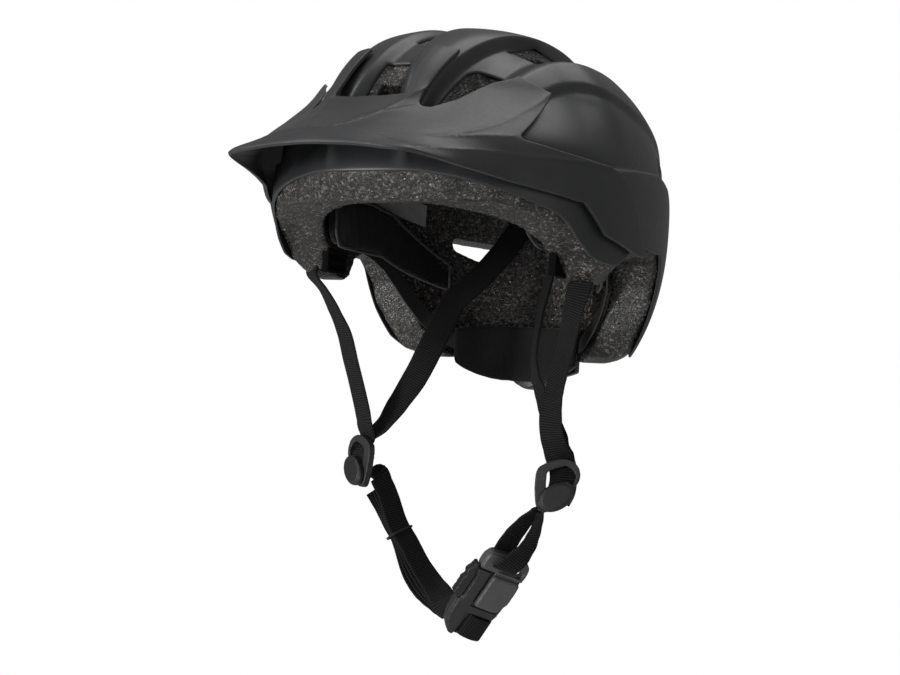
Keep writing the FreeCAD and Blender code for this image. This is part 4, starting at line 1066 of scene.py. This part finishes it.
P = [(13.5, 99.5, 14.0), (15.6, 90.0, 2.0), (17.6, 80.5, -8.4), (20.5, 71.7, -17.2), (23.8, 60.2, -27.8), (28.2, 44.4, -43.3), (30.9, 34.3, -54.4), (33.9, 24.5, -66.7), (35.8, 18.8, -75.6), (38.2, 13.7, -84.9),
     (41.5, 10.2, -94.0), (45.5, 8.6, -101.9), (50.5, 6.8, -110.9), (55.6, 4.7, -119.6), (60.6, 1.8, -127.6), (64.0, -1.2, -134.0)]
W = [ruc(*w) for w in [(0.3, 0.1, 0.94), (0.3, 0.1, 0.94), (0.22, 0.06, 0.97), (0.18, 0.04, 0.98), (0.2, 0, 0.98), (0.16, 0, 0.98), (0.12, 0, 0.99), (0.1, 0, 0.99), (0.1, 0, 0.99), (0.12, 0, 0.99),
     (0.22, 0, 0.97), (0.36, 0, 0.93), (0.5, 0, 0.86), (0.6, 0, 0.8), (0.62, 0, 0.78), (0.7, 0, 0.7)]]
P += [DL(*a) for a in INTO2]; W += [QL] * len(INTO2)
webs["rear_left"] = (P, W, (17.6, 80.5, -8.4), (60.6, 1.8, -127.6))
P = [(-92.5, -35.0, -26.0), (-92.0, -36.5, -33.0), (-91.0, -37.0, -38.5), (-84.6, -33.5, -47.3), (-78.5, -29.1, -59.8), (-74.0, -23.6, -73.1), (-72.5, -17.1, -88.7), (-70.3, -12.6, -102.1), (-66.8, -9.5, -117.9), (-64.9, -8.4, -127.0)]
W = [ruc(*w) for w in [(-0.5, 0.1, -0.85), (-0.45, 0.1, -0.88), (-0.42, 0.1, -0.9), (-0.40, 0.1, -0.92), (-0.5, 0.1, -0.85), (-0.6, 0.1, -0.78), (-0.62, 0.1, -0.78), (-0.61, 0.08, -0.79), (-0.6, 0.0, -0.8), (-0.57, -0.05, -0.82)]]
P += [DR(*a) for a in INTO]; W += [QR] * len(INTO)
webs["front_right"] = (P, W, (-84.6, -33.5, -47.3), (-66.8, -9.5, -117.9))
P = [(-13.5, 99.5, 14.0), (-15.6, 90.0, 2.0), (-17.6, 80.5, -8.4), (-19.3, 73.5, -15.2), (-22.6, 60.3, -27.3), (-27.5, 48.0, -38.0), (-31.8, 39.2, -46.1), (-33.2, 26.3, -63.0), (-36.0, 17.0, -79.4), (-41.9, 12.2, -96.1), (-50.2, 7.2, -113.0), (-56.8, 1.0, -127.0)]
W = [ruc(*w) for w in [(-0.865, 0.495, -0.15)] * 5 + [(-0.87, 0.48, -0.1), (-0.88, 0.46, -0.05), (-0.9, 0.43, 0.0), (-0.88, 0.46, -0.1), (-0.85, 0.42, -0.25), (-0.75, 0.3, -0.55), (-0.62, 0.1, -0.78)]]
P += [DR(*a) for a in INTO2]; W += [QR] * len(INTO2)
webs["rear_right"] = (P, W, (-17.6, 80.5, -8.4), (-50.2, 7.2, -113.0))
for nm, (P, W, a, b) in webs.items():
    o = ribbon("web_" + nm, P, W)
    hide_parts("strap_" + nm)
    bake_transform(o, "helmet", "harness", start=[x * MM for x in a], end=[x * MM for x in b])

# ------------------------------------------------------------------ moulded hardware
def soften(P, sigma=0.8, step=0.4):
    return closed_resample(closed_smooth(closed_resample(np.array(P, float), step), sigma, step), 0.6)

def oval(c, a, b, ang, n=48):
    t = np.linspace(0, 2 * math.pi, n, endpoint=False)
    x, y = a * np.cos(t), b * np.sin(t)
    s, k = math.sin(math.radians(ang)), math.cos(math.radians(ang))
    return np.stack([c[0] + x * k - y * s, c[1] + x * s + y * k], 1)

def prism(soup, loops, y0, y1, fr):
    vs, fs = soup
    n0 = len(vs)
    flat = [p for l in loops for p in l]
    m = len(flat)
    for y in (y0, y1):
        vs.extend(fr(a, b, y) for a, b in flat)
    for t in tessellate_polygon([[Vector((a, b, 0)) for a, b in l] for l in loops]):
        fs.append(tuple(n0 + i for i in t))
        fs.append(tuple(n0 + m + i for i in reversed(t)))
    k = 0
    for l in loops:
        for i in range(len(l)):
            j = (i + 1) % len(l)
            fs.append((n0 + k + i, n0 + k + j, n0 + m + k + j, n0 + m + k + i))
        k += len(l)

def rod(soup, a, b, r, n=16):
    vs, fs = soup
    n0 = len(vs)
    a, b = np.array(a, float), np.array(b, float)
    t = (b - a) / np.linalg.norm(b - a)
    x = np.cross(t, [0.3, 0.5, 0.8]); x /= np.linalg.norm(x)
    y = np.cross(t, x)
    for c in (a, b):
        for i in range(n):
            w = 2 * math.pi * i / n
            vs.append(c + (x * math.cos(w) + y * math.sin(w)) * r)
    for i in range(n):
        j = (i + 1) % n
        fs.append((n0 + i, n0 + j, n0 + n + j, n0 + n + i))
    fs.append(tuple(n0 + i for i in range(n))[::-1])
    fs.append(tuple(n0 + n + i for i in range(n)))

def soup_obj(name, soup, size, iters, mat, factor=0.5):
    me = bpy.data.meshes.new(name)
    me.from_pydata([tuple(np.array(v) * MM) for v in soup[0]], [], soup[1])
    me.update()
    ob = bpy.data.objects.new(name, me)
    SC.collection.objects.link(ob)
    bm = bmesh.new()
    bm.from_mesh(me)
    bmesh.ops.recalc_face_normals(bm, faces=bm.faces)
    bm.to_mesh(me)
    bm.free()
    voxel(ob, size * MM, iters, factor)
    setmat(ob, mat)
    return ob

FINE = 0.36
def qz(L):
    return [((0.983 * r - 0.1136 * u) / 0.989, (0.114 * r + 0.993 * u) / 0.989) for r, u in L]
for k, nm, fr in ((1, "left", DL), (-1, "right", DR)):
    outer = soften(qz([(-9.5, 10.4), (-5, 12.7), (-0.3, 14.3), (4, 15.0), (8, 14.6), (12, 12.6), (14.3, 9.6), (15.1, 5.4), (14.0, 1.5), (11.4, -2.1), (8, -7.0), (3.5, -11.5), (-2, -14.8),
                       (-7, -16.2), (-10.3, -15.0), (-11.4, -11.0), (-11.7, -7.1), (-11.9, -2.5), (-11.6, 2.1), (-11, 7)]), 1.0)
    inner = soften(qz([(-4.6, 7.3), (1, 9.6), (6.8, 10.9), (10.6, 8.8), (12.6, 4.8), (10.5, 0.4), (7, -4.5), (1, -7.5), (-5.0, -8.0), (-5.3, 0)]), 0.8)[::-1]
    s = ([], [])
    prism(s, [outer, inner], -2.1, 2.1, fr)
    # clamping floor behind the lever
    prism(s, [soften(qz([(-6.5, -5.5), (6.5, -5.5), (6.0, -9.5), (1.0, -12.5), (-6.5, -13.5)]), 0.6)], -2.1, -0.6, fr)
    o = soup_obj("divider_frame_" + nm, s, FINE, 6, M["nylon_face"])
    stand(o, "divider_" + nm)
    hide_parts("cam_pin_" + nm)
    # lever: a domed oval cap
    c = qz([(0.5, -7.1)])[0]
    s = ([], [])
    for y0, y1, sh in ((2.5, 5.0, 1.0), (4.8, 5.7, 0.94), (5.5, 6.1, 0.80)):
        prism(s, [oval(c, 11.6 * sh, 7.7 * sh, 37.0)], y0, y1, fr)
    prism(s, [[(1.6, -3.0), (8.2, -3.0), (8.2, -0.2), (1.6, -0.2)]], 2.3, 5.0, fr)
    o = soup_obj("cam_cap_" + nm, s, FINE * 0.9, 10, M["lever"])
    stand(o, "cam_lever_" + nm)

# ------------------------------------------------------------------ buckle
BT = np.array([40.1, -6.9, -198.9])
BAX = np.array([-28.5, 4.0, -42.0]); BAX /= np.linalg.norm(BAX)
BFN = np.array([0.617, -0.624, -0.478]); BFN -= BAX * (BFN @ BAX); BFN /= np.linalg.norm(BFN)
BSX = np.cross(BAX, BFN)
def bk(a, s, y):
    # a across towards the free side, s down the buckle, y out of its face
    return BT + BAX * s - BSX * a + BFN * y

s = ([], [])
tray = soften([(15.4, 14.4), (15.8, 22), (15.8, 33), (15.0, 41), (13.6, 45.2), (9, 45.8), (-2.0, 46.0), (-2.9, 50), (-3.4, 57), (-4.6, 63.2), (-8, 62.4), (-13.4, 56), (-15.4, 48),
               (-15.6, 39.5), (-13.4, 37.8), (-13.2, 30), (-13.2, 21.5), (-14.6, 18.5), (-15.4, 14.6)], 0.7)
prism(s, [tray], -5.2, 1.0, bk)
wall = soften([(-14.6, 15.0), (-5.6, 15.0), (-5.6, 44.0), (-5.4, 52), (-5.2, 60.0), (-8, 60.6), (-12.6, 55), (-14.2, 48), (-14.2, 39.5), (-12.4, 37), (-12.4, 22), (-13.6, 18)], 0.7)
prism(s, [wall], -1.0, 2.5, bk)
prism(s, [soften([(-5.8, 40.2), (14.6, 40.2), (13.0, 45.2), (-5.8, 45.4)], 0.6)], -1.0, 2.3, bk)
rod(s, bk(9.0, 44.5, -1.6), bk(9.0, 61.5, -1.6), 1.9)
prism(s, [soften([(4.0, 60.6), (10.6, 60.8), (10.6, 62.6), (-7.0, 62.6), (-7.0, 60.6)], 0.3)], -4.6, -1.2, bk)
o = soup_obj("buckle_tray", s, FINE, 6, M["nylon_face"])
stand(o, "buckle_base")

s = ([], [])
frame_o = soften([(0.0, 0.9), (-5, 0.8), (-12.4, 1.2), (-14.8, 5.0), (-15.2, 10), (-14.6, 13.9), (15.2, 13.9), (15.7, 9), (14.8, 4.0), (12.2, 1.3), (6, 0.9)], 0.9)
slot_i = soften([(-0.4, 7.4), (13.0, 7.4), (13.2, 12.3), (-0.2, 12.3)], 0.35)[::-1]
prism(s, [frame_o, slot_i], -3.4, 2.8, bk)
prism(s, [soften([(-13.6, 2.2), (-2.4, 2.2), (-2.6, 12.8), (-13.8, 12.8), (-14.2, 8)], 0.9)], 1.0, 3.9, bk)
prism(s, [soften([(-3.0, 12.2), (14.8, 12.2), (14.8, 14.0), (-3.0, 14.0)], 0.3)], 0.0, 3.6, bk)
prism(s, [soften([(-3.4, 13.0), (13.4, 13.0), (13.4, 37.0), (-3.4, 37.0)], 0.4)], 1.1, 2.6, bk)
plate = soften([(-4.0, 15.4), (14.2, 15.4), (14.8, 20), (14.7, 30.5), (12.6, 34.2), (12.0, 37.0), (8.2, 38.7), (-4.2, 38.4)], 1.0)
prism(s, [plate], 1.4, 4.4, bk)
c = plate.mean(0)
prism(s, [c + (plate - c) * 0.93], 3.0, 5.0, bk)
# the slide wears the lighter copy of black nylon, painted light
o = soup_obj("buckle_slide", s, FINE, 5, M["plate"])
stand(o, "buckle_tongue")

s = ([], [])
edge = []
for i in range(40):
    t = i / 39.0
    sv = 12.4 + 23.6 * t
    dip = 1.5 * math.exp(-((sv - 22.6) / 1.6) ** 2) + 0.5 * math.exp(-((sv - 16.2) / 0.9) ** 2) + 0.5 * math.exp(-((sv - 28.0) / 0.9) ** 2) + 0.5 * math.exp(-((sv - 31.0) / 0.9) ** 2)
    edge.append((-17.6 - 2.3 * S(t * 3.0) + dip, sv))
latch = edge + [(-18.2, 36.9), (-14.2, 37.0), (-14.0, 21.0), (-15.2, 17.5), (-15.4, 12.2)]
prism(s, [soften(latch, 0.45)], -3.6, 1.9, bk)
o = soup_obj("release_latch", s, FINE, 5, M["nylon"])
stand(o, "release_tab")

# ------------------------------------------------------------------ chin webbing
wt = ruc(0.18, -0.12, -0.97)
we = -BSX
P = [(58.4, -12.2, -169.7), (57.0, -12.2, -171.0), (49.7, -11.2, -178.4), (42.9, -10.0, -186.0), (37.6, -8.6, -193.2), (34.2, -7.5, -199.5), (33.2, -8.2, -204.0), (34.0, -9.5, -206.8), (35.6, -10.6, -206.6)]
W = [ruc(0.24, -0.2, -0.95), ruc(0.28, -0.24, -0.93), ruc(0.45, -0.4, -0.8), ruc(0.58, -0.46, -0.68), ruc(0.68, -0.44, -0.58), we, we, we, we]
a = ribbon("chin_loop_back", P, W, 14.5, 1.3, 1.0)
P = [(60.3, -11.2, -171.1), (59.0, -11.0, -173.2), (56.9, -9.9, -180.0), (54.2, -9.4, -187.3), (51.0, -9.6, -194.3), (46.4, -11.2, -200.8), (41.6, -12.3, -206.0), (38.6, -12.0, -208.2), (36.6, -10.6, -207.6)]
W = [ruc(0.24, -0.05, -0.97), ruc(0.28, -0.05, -0.95), ruc(0.42, -0.1, -0.9), ruc(0.56, -0.16, -0.81), ruc(0.7, -0.22, -0.68), we, we, we, we]
b = ribbon("chin_loop_front", P, W, 14.5, 1.3, 1.0)
for o in (a, b):
    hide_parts("chin_strap_left")
    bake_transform(o, "harness", "tongue", start=[59.5 * MM, -11.5 * MM, -171.0 * MM], end=[37.0 * MM, -8.0 * MM, -201.0 * MM])

CH = [DR(2.5, 3.0, -0.4), DR(1.5, -3.5, -0.6), DR(-0.5, -9.5, 0.2), (-56.2, -5.2, -157.4), (-52.4, -3.0, -163.8), (-48.6, -0.9, -172.6), (-42.2, 0.0, -187.6), (-34.5, 1.3, -198.7), (-26.6, 2.3, -210.8), (-17.8, 2.9, -221.3), (-9.1, 0.4, -228.5),
      (-4.5, -3.4, -233.0), bk(-9.5, 50.2, -7.0), bk(-1.0, 52.4, -7.3), bk(8.0, 53.3, -6.4), bk(13.6, 53.5, -2.6), bk(12.2, 53.5, 2.0), bk(6.0, 53.5, 3.2), bk(0.0, 53.3, 2.4), bk(-3.0, 53.2, -0.5)]
w0 = ruc(0.70, 0.30, -0.645)
WC = [QR * -1.0, QR * -1.0, ruc(0.62, 0.1, -0.1), ruc(0.72, 0.3, -0.5), w0, w0, w0, w0, w0, ruc(0.70, 0.42, -0.58), ruc(0.66, 0.6, -0.42), ruc(0.6, 0.75, -0.1)] + [-BAX] * 8
o = ribbon("chin_web_right", CH, WC, 15.5, 1.5, 1.0)
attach(o, "harness")
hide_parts("chin_strap_right")

# the spare end folded back under the strap in three leaves, splayed at the top and held by the ring
CC, WW = crom(CH[4:12], WC[4:12], 16)
T = np.gradient(CC, axis=0); T /= np.linalg.norm(T, axis=1)[:, None]
WW = WW - T * np.sum(WW * T, 1)[:, None]; WW /= np.linalg.norm(WW, axis=1)[:, None]
NN = np.cross(T, WW)
NN[np.sum(NN * np.array(CAM_C), 1) > 0] *= -1
seg = np.concatenate([[0], np.cumsum(np.linalg.norm(np.diff(CC, axis=0), axis=1))])
fr_ = seg / seg[-1]
gap = np.interp(fr_, [0, 0.10, 0.22, 0.36, 0.5, 0.62, 0.76, 0.9, 1.0], [3.0, 2.7, 1.9, 1.5, 2.4, 3.2, 3.8, 3.4, 2.8])
leaves = []
for j in (1, 2, 3):
    i0 = {1: 2, 2: 4, 3: 3}[j]
    i1 = len(CC) - {1: 1, 2: 3, 3: 2}[j]
    lean = 0.9 * j * np.interp(fr_, [0, 0.36, 0.7, 1.0], [0.8, 0.0, 0.9, 0.4])
    Pj = CC + NN * (gap * j)[:, None] - WW * lean[:, None]
    idx = list(range(i0, i1, 6)) + [i1 - 1]
    tilt = 0.06 * j
    leaves.append(ribbon("tail_leaf_%d" % j, [Pj[i] for i in idx], [WW[i] + NN[i] * tilt for i in idx], 15.2, 1.45, 1.0))
def join(obs, name):
    bm = bmesh.new()
    for q in obs:
        bm.from_mesh(q.data)
    me = bpy.data.meshes.new(name)
    bm.to_mesh(me)
    bm.free()
    ob = bpy.data.objects.new(name, me)
    SC.collection.objects.link(ob)
    mats = list(obs[0].data.materials)
    for q in obs:
        bpy.data.objects.remove(q)
    setmat(ob, *mats)
    return ob
tail = join(leaves, "tail_folded")
stand(tail, "strap_tail")
# ring round the strap and the folded end
i = int(np.argmin(np.abs(fr_ - 0.36)))
p0, w_, n_ = CC[i], WW[i], NN[i]
ringp = []
for q in range(64):
    a = 2 * math.pi * q / 64
    ca, sa = math.cos(a), math.sin(a)
    ex = 9.0 * abs(ca) ** 0.45 * (1 if ca > 0 else -1)
    ey = 3.9 * abs(sa) ** 0.6 * (1 if sa > 0 else -1)
    ringp.append(p0 + w_ * ex + n_ * (ey + 2.4))
ringp = closed_resample(np.array(ringp), 0.8)
def tube(name, pts, r, mat, closed=True, n=10):
    pts = np.array(pts)
    m = len(pts)
    if closed:
        T = np.roll(pts, -1, 0) - np.roll(pts, 1, 0)
    else:
        T = np.gradient(pts, axis=0)
    T /= np.linalg.norm(T, axis=1)[:, None]
    ref = np.array([0.31, 0.52, 0.79])
    vs = []
    X = np.cross(T[0], ref)
    for i in range(m):
        X = X - T[i] * (X @ T[i])
        X /= np.linalg.norm(X)
        Y = np.cross(T[i], X)
        for j in range(n):
            w = 2 * math.pi * j / n
            vs.append(pts[i] + (X * math.cos(w) + Y * math.sin(w)) * r)
    fs = []
    for i in range(m if closed else m - 1):
        k = (i + 1) % m
        # the frame may have turned once round a closed run: match by the nearest start
        off = 0
        if closed and i == m - 1:
            d = [np.linalg.norm(vs[i * n] - vs[j]) for j in range(n)]
            off = int(np.argmin(d))
        for j in range(n):
            fs.append((i * n + j, i * n + (j + 1) % n, k * n + (j + 1 + off) % n, k * n + (j + off) % n))
    if not closed:
        fs.append(tuple(range(n))[::-1])
        fs.append(tuple((m - 1) * n + j for j in range(n)))
    me = bpy.data.meshes.new(name)
    me.from_pydata([tuple(v * MM) for v in vs], [], fs)
    me.update()
    ob = bpy.data.objects.new(name, me)
    SC.collection.objects.link(ob)
    bm = bmesh.new(); bm.from_mesh(me)
    bmesh.ops.recalc_face_normals(bm, faces=bm.faces)
    bm.to_mesh(me); bm.free()
    me.polygons.foreach_set("use_smooth", [True] * len(me.polygons))
    setmat(ob, mat)
    return ob
o = tube("keeper_loop", ringp, 0.75, M["rubber"])
stand(o, "keeper_ring")

# ------------------------------------------------------------------ pads
def wall(az, z, g):
    # point on the head cavity's wall, moved inwards by g
    a = np.radians(az)
    ai, bi = AI - g, BI - g
    c = np.where(z > ZC, CI - g, CI_LOW - g)
    k = np.maximum(1.0 - (np.abs(z - ZC) / c) ** N, 1e-4)
    r = (k / ((np.abs(np.sin(a)) / ai) ** N + (np.abs(np.cos(a)) / bi) ** N)) ** (1.0 / N)
    return np.stack([r * np.sin(a), -r * np.cos(a), z + 0 * r], -1)

def cushion(node_name, name, mat, size=2.0, cap=1.5, shrink=0.5):
    ob = copy_node(node_name, name)
    voxel(ob, size * MM, 3, 0.5)
    rest = co_of(ob)
    nrm = np.zeros(len(ob.data.vertices) * 3, np.float32)
    ob.data.vertices.foreach_get("normal", nrm)
    nrm = nrm.reshape(-1, 3)
    set_co(ob, rest - nrm * shrink * MM)
    start = co_of(ob)
    cl = ob.modifiers.new("cloth", "CLOTH")
    st = cl.settings
    st.quality = 4
    st.mass = 0.15
    st.tension_stiffness = st.compression_stiffness = 12
    st.shear_stiffness = 6
    st.bending_stiffness = 0.6
    st.use_pressure = True
    st.uniform_pressure_force = 4.0
    st.effector_weights.gravity = 0.0
    cl.collision_settings.use_collision = False
    cl.collision_settings.use_self_collision = False
    SC.frame_start, SC.frame_end = 1, 20
    for f in range(1, 21):
        SC.frame_set(f)
    dg = bpy.context.evaluated_depsgraph_get()
    ev = ob.evaluated_get(dg).data
    c = np.zeros(len(ev.vertices) * 3, np.float32)
    ev.vertices.foreach_get("co", c)
    c = c.reshape(-1, 3)
    ob.modifiers.clear()
    SC.frame_set(1)
    mv = c - start
    L = np.linalg.norm(mv, axis=1)
    lim = cap * MM
    k = np.where(L > 1e-9, lim * np.tanh(L / lim) / np.maximum(L, 1e-9), 0)
    set_co(ob, start + mv * k[:, None])
    sm = ob.modifiers.new("s", "SMOOTH")
    sm.factor, sm.iterations = 0.5, 2
    sb = ob.modifiers.new("d", "SUBSURF")
    sb.levels = sb.render_levels = 1
    apply_mods(ob)
    ob.data.polygons.foreach_set("use_smooth", [True] * len(ob.data.polygons))
    setmat(ob, mat)
    return ob

def mirrored(ob, name):
    me = ob.data.copy()
    me.name = name
    o = bpy.data.objects.new(name, me)
    SC.collection.objects.link(o)
    c = co_of(o)
    c[:, 0] *= -1
    set_co(o, c)
    me.flip_normals()
    return o

side_lo = [(46, -12), (53, -21), (75, -21), (101, -21), (117, -28), (131, -33), (144, -38)]
side_hi = [(46, 2), (60, 8), (90, 10), (110, 6), (125, -6), (144, -22)]
pl = cushion("side_pad_left", "side_cushion_left", M["pad"], 2.0, 1.6)
pr = mirrored(pl, "side_cushion_right")
stand(pl, "side_pad_left")
stand(pr, "side_pad_right")
bp = cushion("brow_pad", "brow_cushion", M["pad"], 2.0, 1.6)
stand(bp, "brow_pad")
cp = cushion("crown_pad", "crown_cushion", M["pad"], 2.2, 1.6)
stand(cp, "crown_pad")
def nape(ob, up, down=0.0):
    # the nape pieces' ends run on round the wall, and their lower corners are rounded off
    c = co_of(ob) / MM
    q = np.abs(c[:, 0])
    k = 1 + 0.19 * S((q - 12.0) / 26.0)
    t = (c[:, 2] - c[:, 2].min()) / (c[:, 2].max() - c[:, 2].min())
    e = np.clip(q / q.max(), 0, 1) ** 4
    c[:, 0] *= k
    c[:, 1] -= 0.5 * q * (k - 1)
    c[:, 2] += up * t + (1 - t) * (1.2 - down + 13.0 * e) - 3.0 * t * e
    set_co(ob, c * MM)
op = cushion("occipital_pad", "occipital_cushion", M["occ"], 1.8, 1.4)
nape(op, 4.6, 9.5)
stand(op, "occipital_pad")

# bound borders of the pads
lo, hi = np.array(side_lo, float), np.array(side_hi, float)
az = np.linspace(47.0, 143.0, 60)
loop = np.vstack([np.stack([az, np.interp(az, lo[:, 0], lo[:, 1]) - 0.2], 1), np.stack([az[::-1], np.interp(az[::-1], hi[:, 0], hi[:, 1]) + 0.2], 1)])
pts = wall(loop[:, 0], loop[:, 1], 6.6)
pts = closed_resample(closed_smooth(closed_resample(pts, 0.8), 2.0, 0.8), 1.0)
for k, nm in ((1, "left"), (-1, "right")):
    o = tube("side_binding_" + nm, pts * np.array([k, 1, 1]), 0.75, M["pipe"])
    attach(o, "helmet")

# ------------------------------------------------------------------ remaining pieces
for n, mt, sz in [("dial_knob", "rubber", 0.5), ("dial_housing", "nylon", 0.5), ("dial_cap", "nylon", 0.4), ("cradle_plate", "nylon", 0.6), ("strap_anchor_left", "dull", 0.4), ("strap_anchor_right", "dull", 0.4)]:
    o = moulded(n, sz * MM, M[mt])
    if n == "cradle_plate":
        nape(o, 0.0)
for n, mt in [("band_left", "band"), ("band_right", "band"), ("rear_strap_anchor", "nylon"),
              ("rack_left", "nylon"), ("rack_right", "nylon"), ("dial_pinion", "nylon"), ("ratchet_spring", "steel"),
              ("magnet_base", "steel"), ("magnet_tongue", "steel"), ("visor_pin_left", "nylon"), ("visor_pin_right", "nylon"), ("visor_socket_left", "nylon"),
              ("visor_socket_right", "nylon"), ("cradle_pin_left", "nylon"), ("cradle_pin_right", "nylon"), ("size_label", "label")]:
    setmat(NODES[n], M[mt])

# ------------------------------------------------------------------ studio
SC.view_settings.view_transform = "Standard"
SC.view_settings.look = "None"
def seen_white(nt, dim_socket, strength):
    # what the camera sees of the surroundings is plain pale; what lights the object is dimmer
    e = nt.nodes.new("ShaderNodeBackground" if nt.nodes.get("Background") else "ShaderNodeEmission")
    e.inputs["Color"].default_value = (1, 1, 1, 1)
    e.inputs["Strength"].default_value = strength
    lp = nt.nodes.new("ShaderNodeLightPath")
    mx = nt.nodes.new("ShaderNodeMixShader")
    nt.links.new(lp.outputs["Is Camera Ray"], mx.inputs[0])
    nt.links.new(dim_socket, mx.inputs[1])
    nt.links.new(e.outputs[0], mx.inputs[2])
    return mx.outputs[0]
floor_me = bpy.data.meshes.new("floor")
zf = CAD_BOX[0][2] - 0.30
floor_me.from_pydata([(-40, -40, zf), (40, -40, zf), (40, 40, zf), (-40, 40, zf)], [], [(0, 1, 2, 3)])
floor = bpy.data.objects.new("floor", floor_me)
SC.collection.objects.link(floor)
fm, nt, p = new_mat("pale_floor")
nt.links.new(ramp(nt, noise(nt, coords(nt), 3.0), [(0.3, (0.60, 0.60, 0.60)), (0.7, (0.64, 0.64, 0.64))]), p.inputs["Base Color"])
p.inputs["Roughness"].default_value = 0.9
o = next(n for n in nt.nodes if n.type == "OUTPUT_MATERIAL")
nt.links.new(seen_white(nt, p.outputs[0], 1.0), o.inputs["Surface"])
setmat(floor, fm)

w = bpy.data.worlds.new("studio")
SC.world = w
w.use_nodes = True
nt = w.node_tree
bg = nt.nodes["Background"]
bg.inputs["Color"].default_value = (1, 1, 1, 1)
bg.inputs["Strength"].default_value = 0.21
outw = next(n for n in nt.nodes if n.type == "OUTPUT_WORLD")
nt.links.new(seen_white(nt, bg.outputs[0], 1.0), outw.inputs["Surface"])

def area(name, loc, target, size, power, sy=None):
    l = bpy.data.lights.new(name, "AREA")
    l.shape = "RECTANGLE"
    l.size = size
    l.size_y = sy or size
    l.energy = power
    o = bpy.data.objects.new(name, l)
    SC.collection.objects.link(o)
    o.location = loc
    d = Vector(target) - Vector(loc)
    o.rotation_euler = d.to_track_quat("-Z", "Y").to_euler()
    return o
area("key", (-0.9, -1.2, 1.6), (0, 0, 0), 1.2, 21.0)
area("top", (0.3, 0.5, 1.9), (0, 0, 0), 1.5, 16.5)
area("side", (2.0, -0.5, 0.5), (0, 0, -0.02), 1.2, 3.0)
area("low", (0.4, -1.8, -0.25), (0, 0.02, -0.05), 1.4, 8.0)
area("low_front", (-0.80, -1.50, -0.24), (0.03, 0.08, -0.04), 0.34, 17.0)
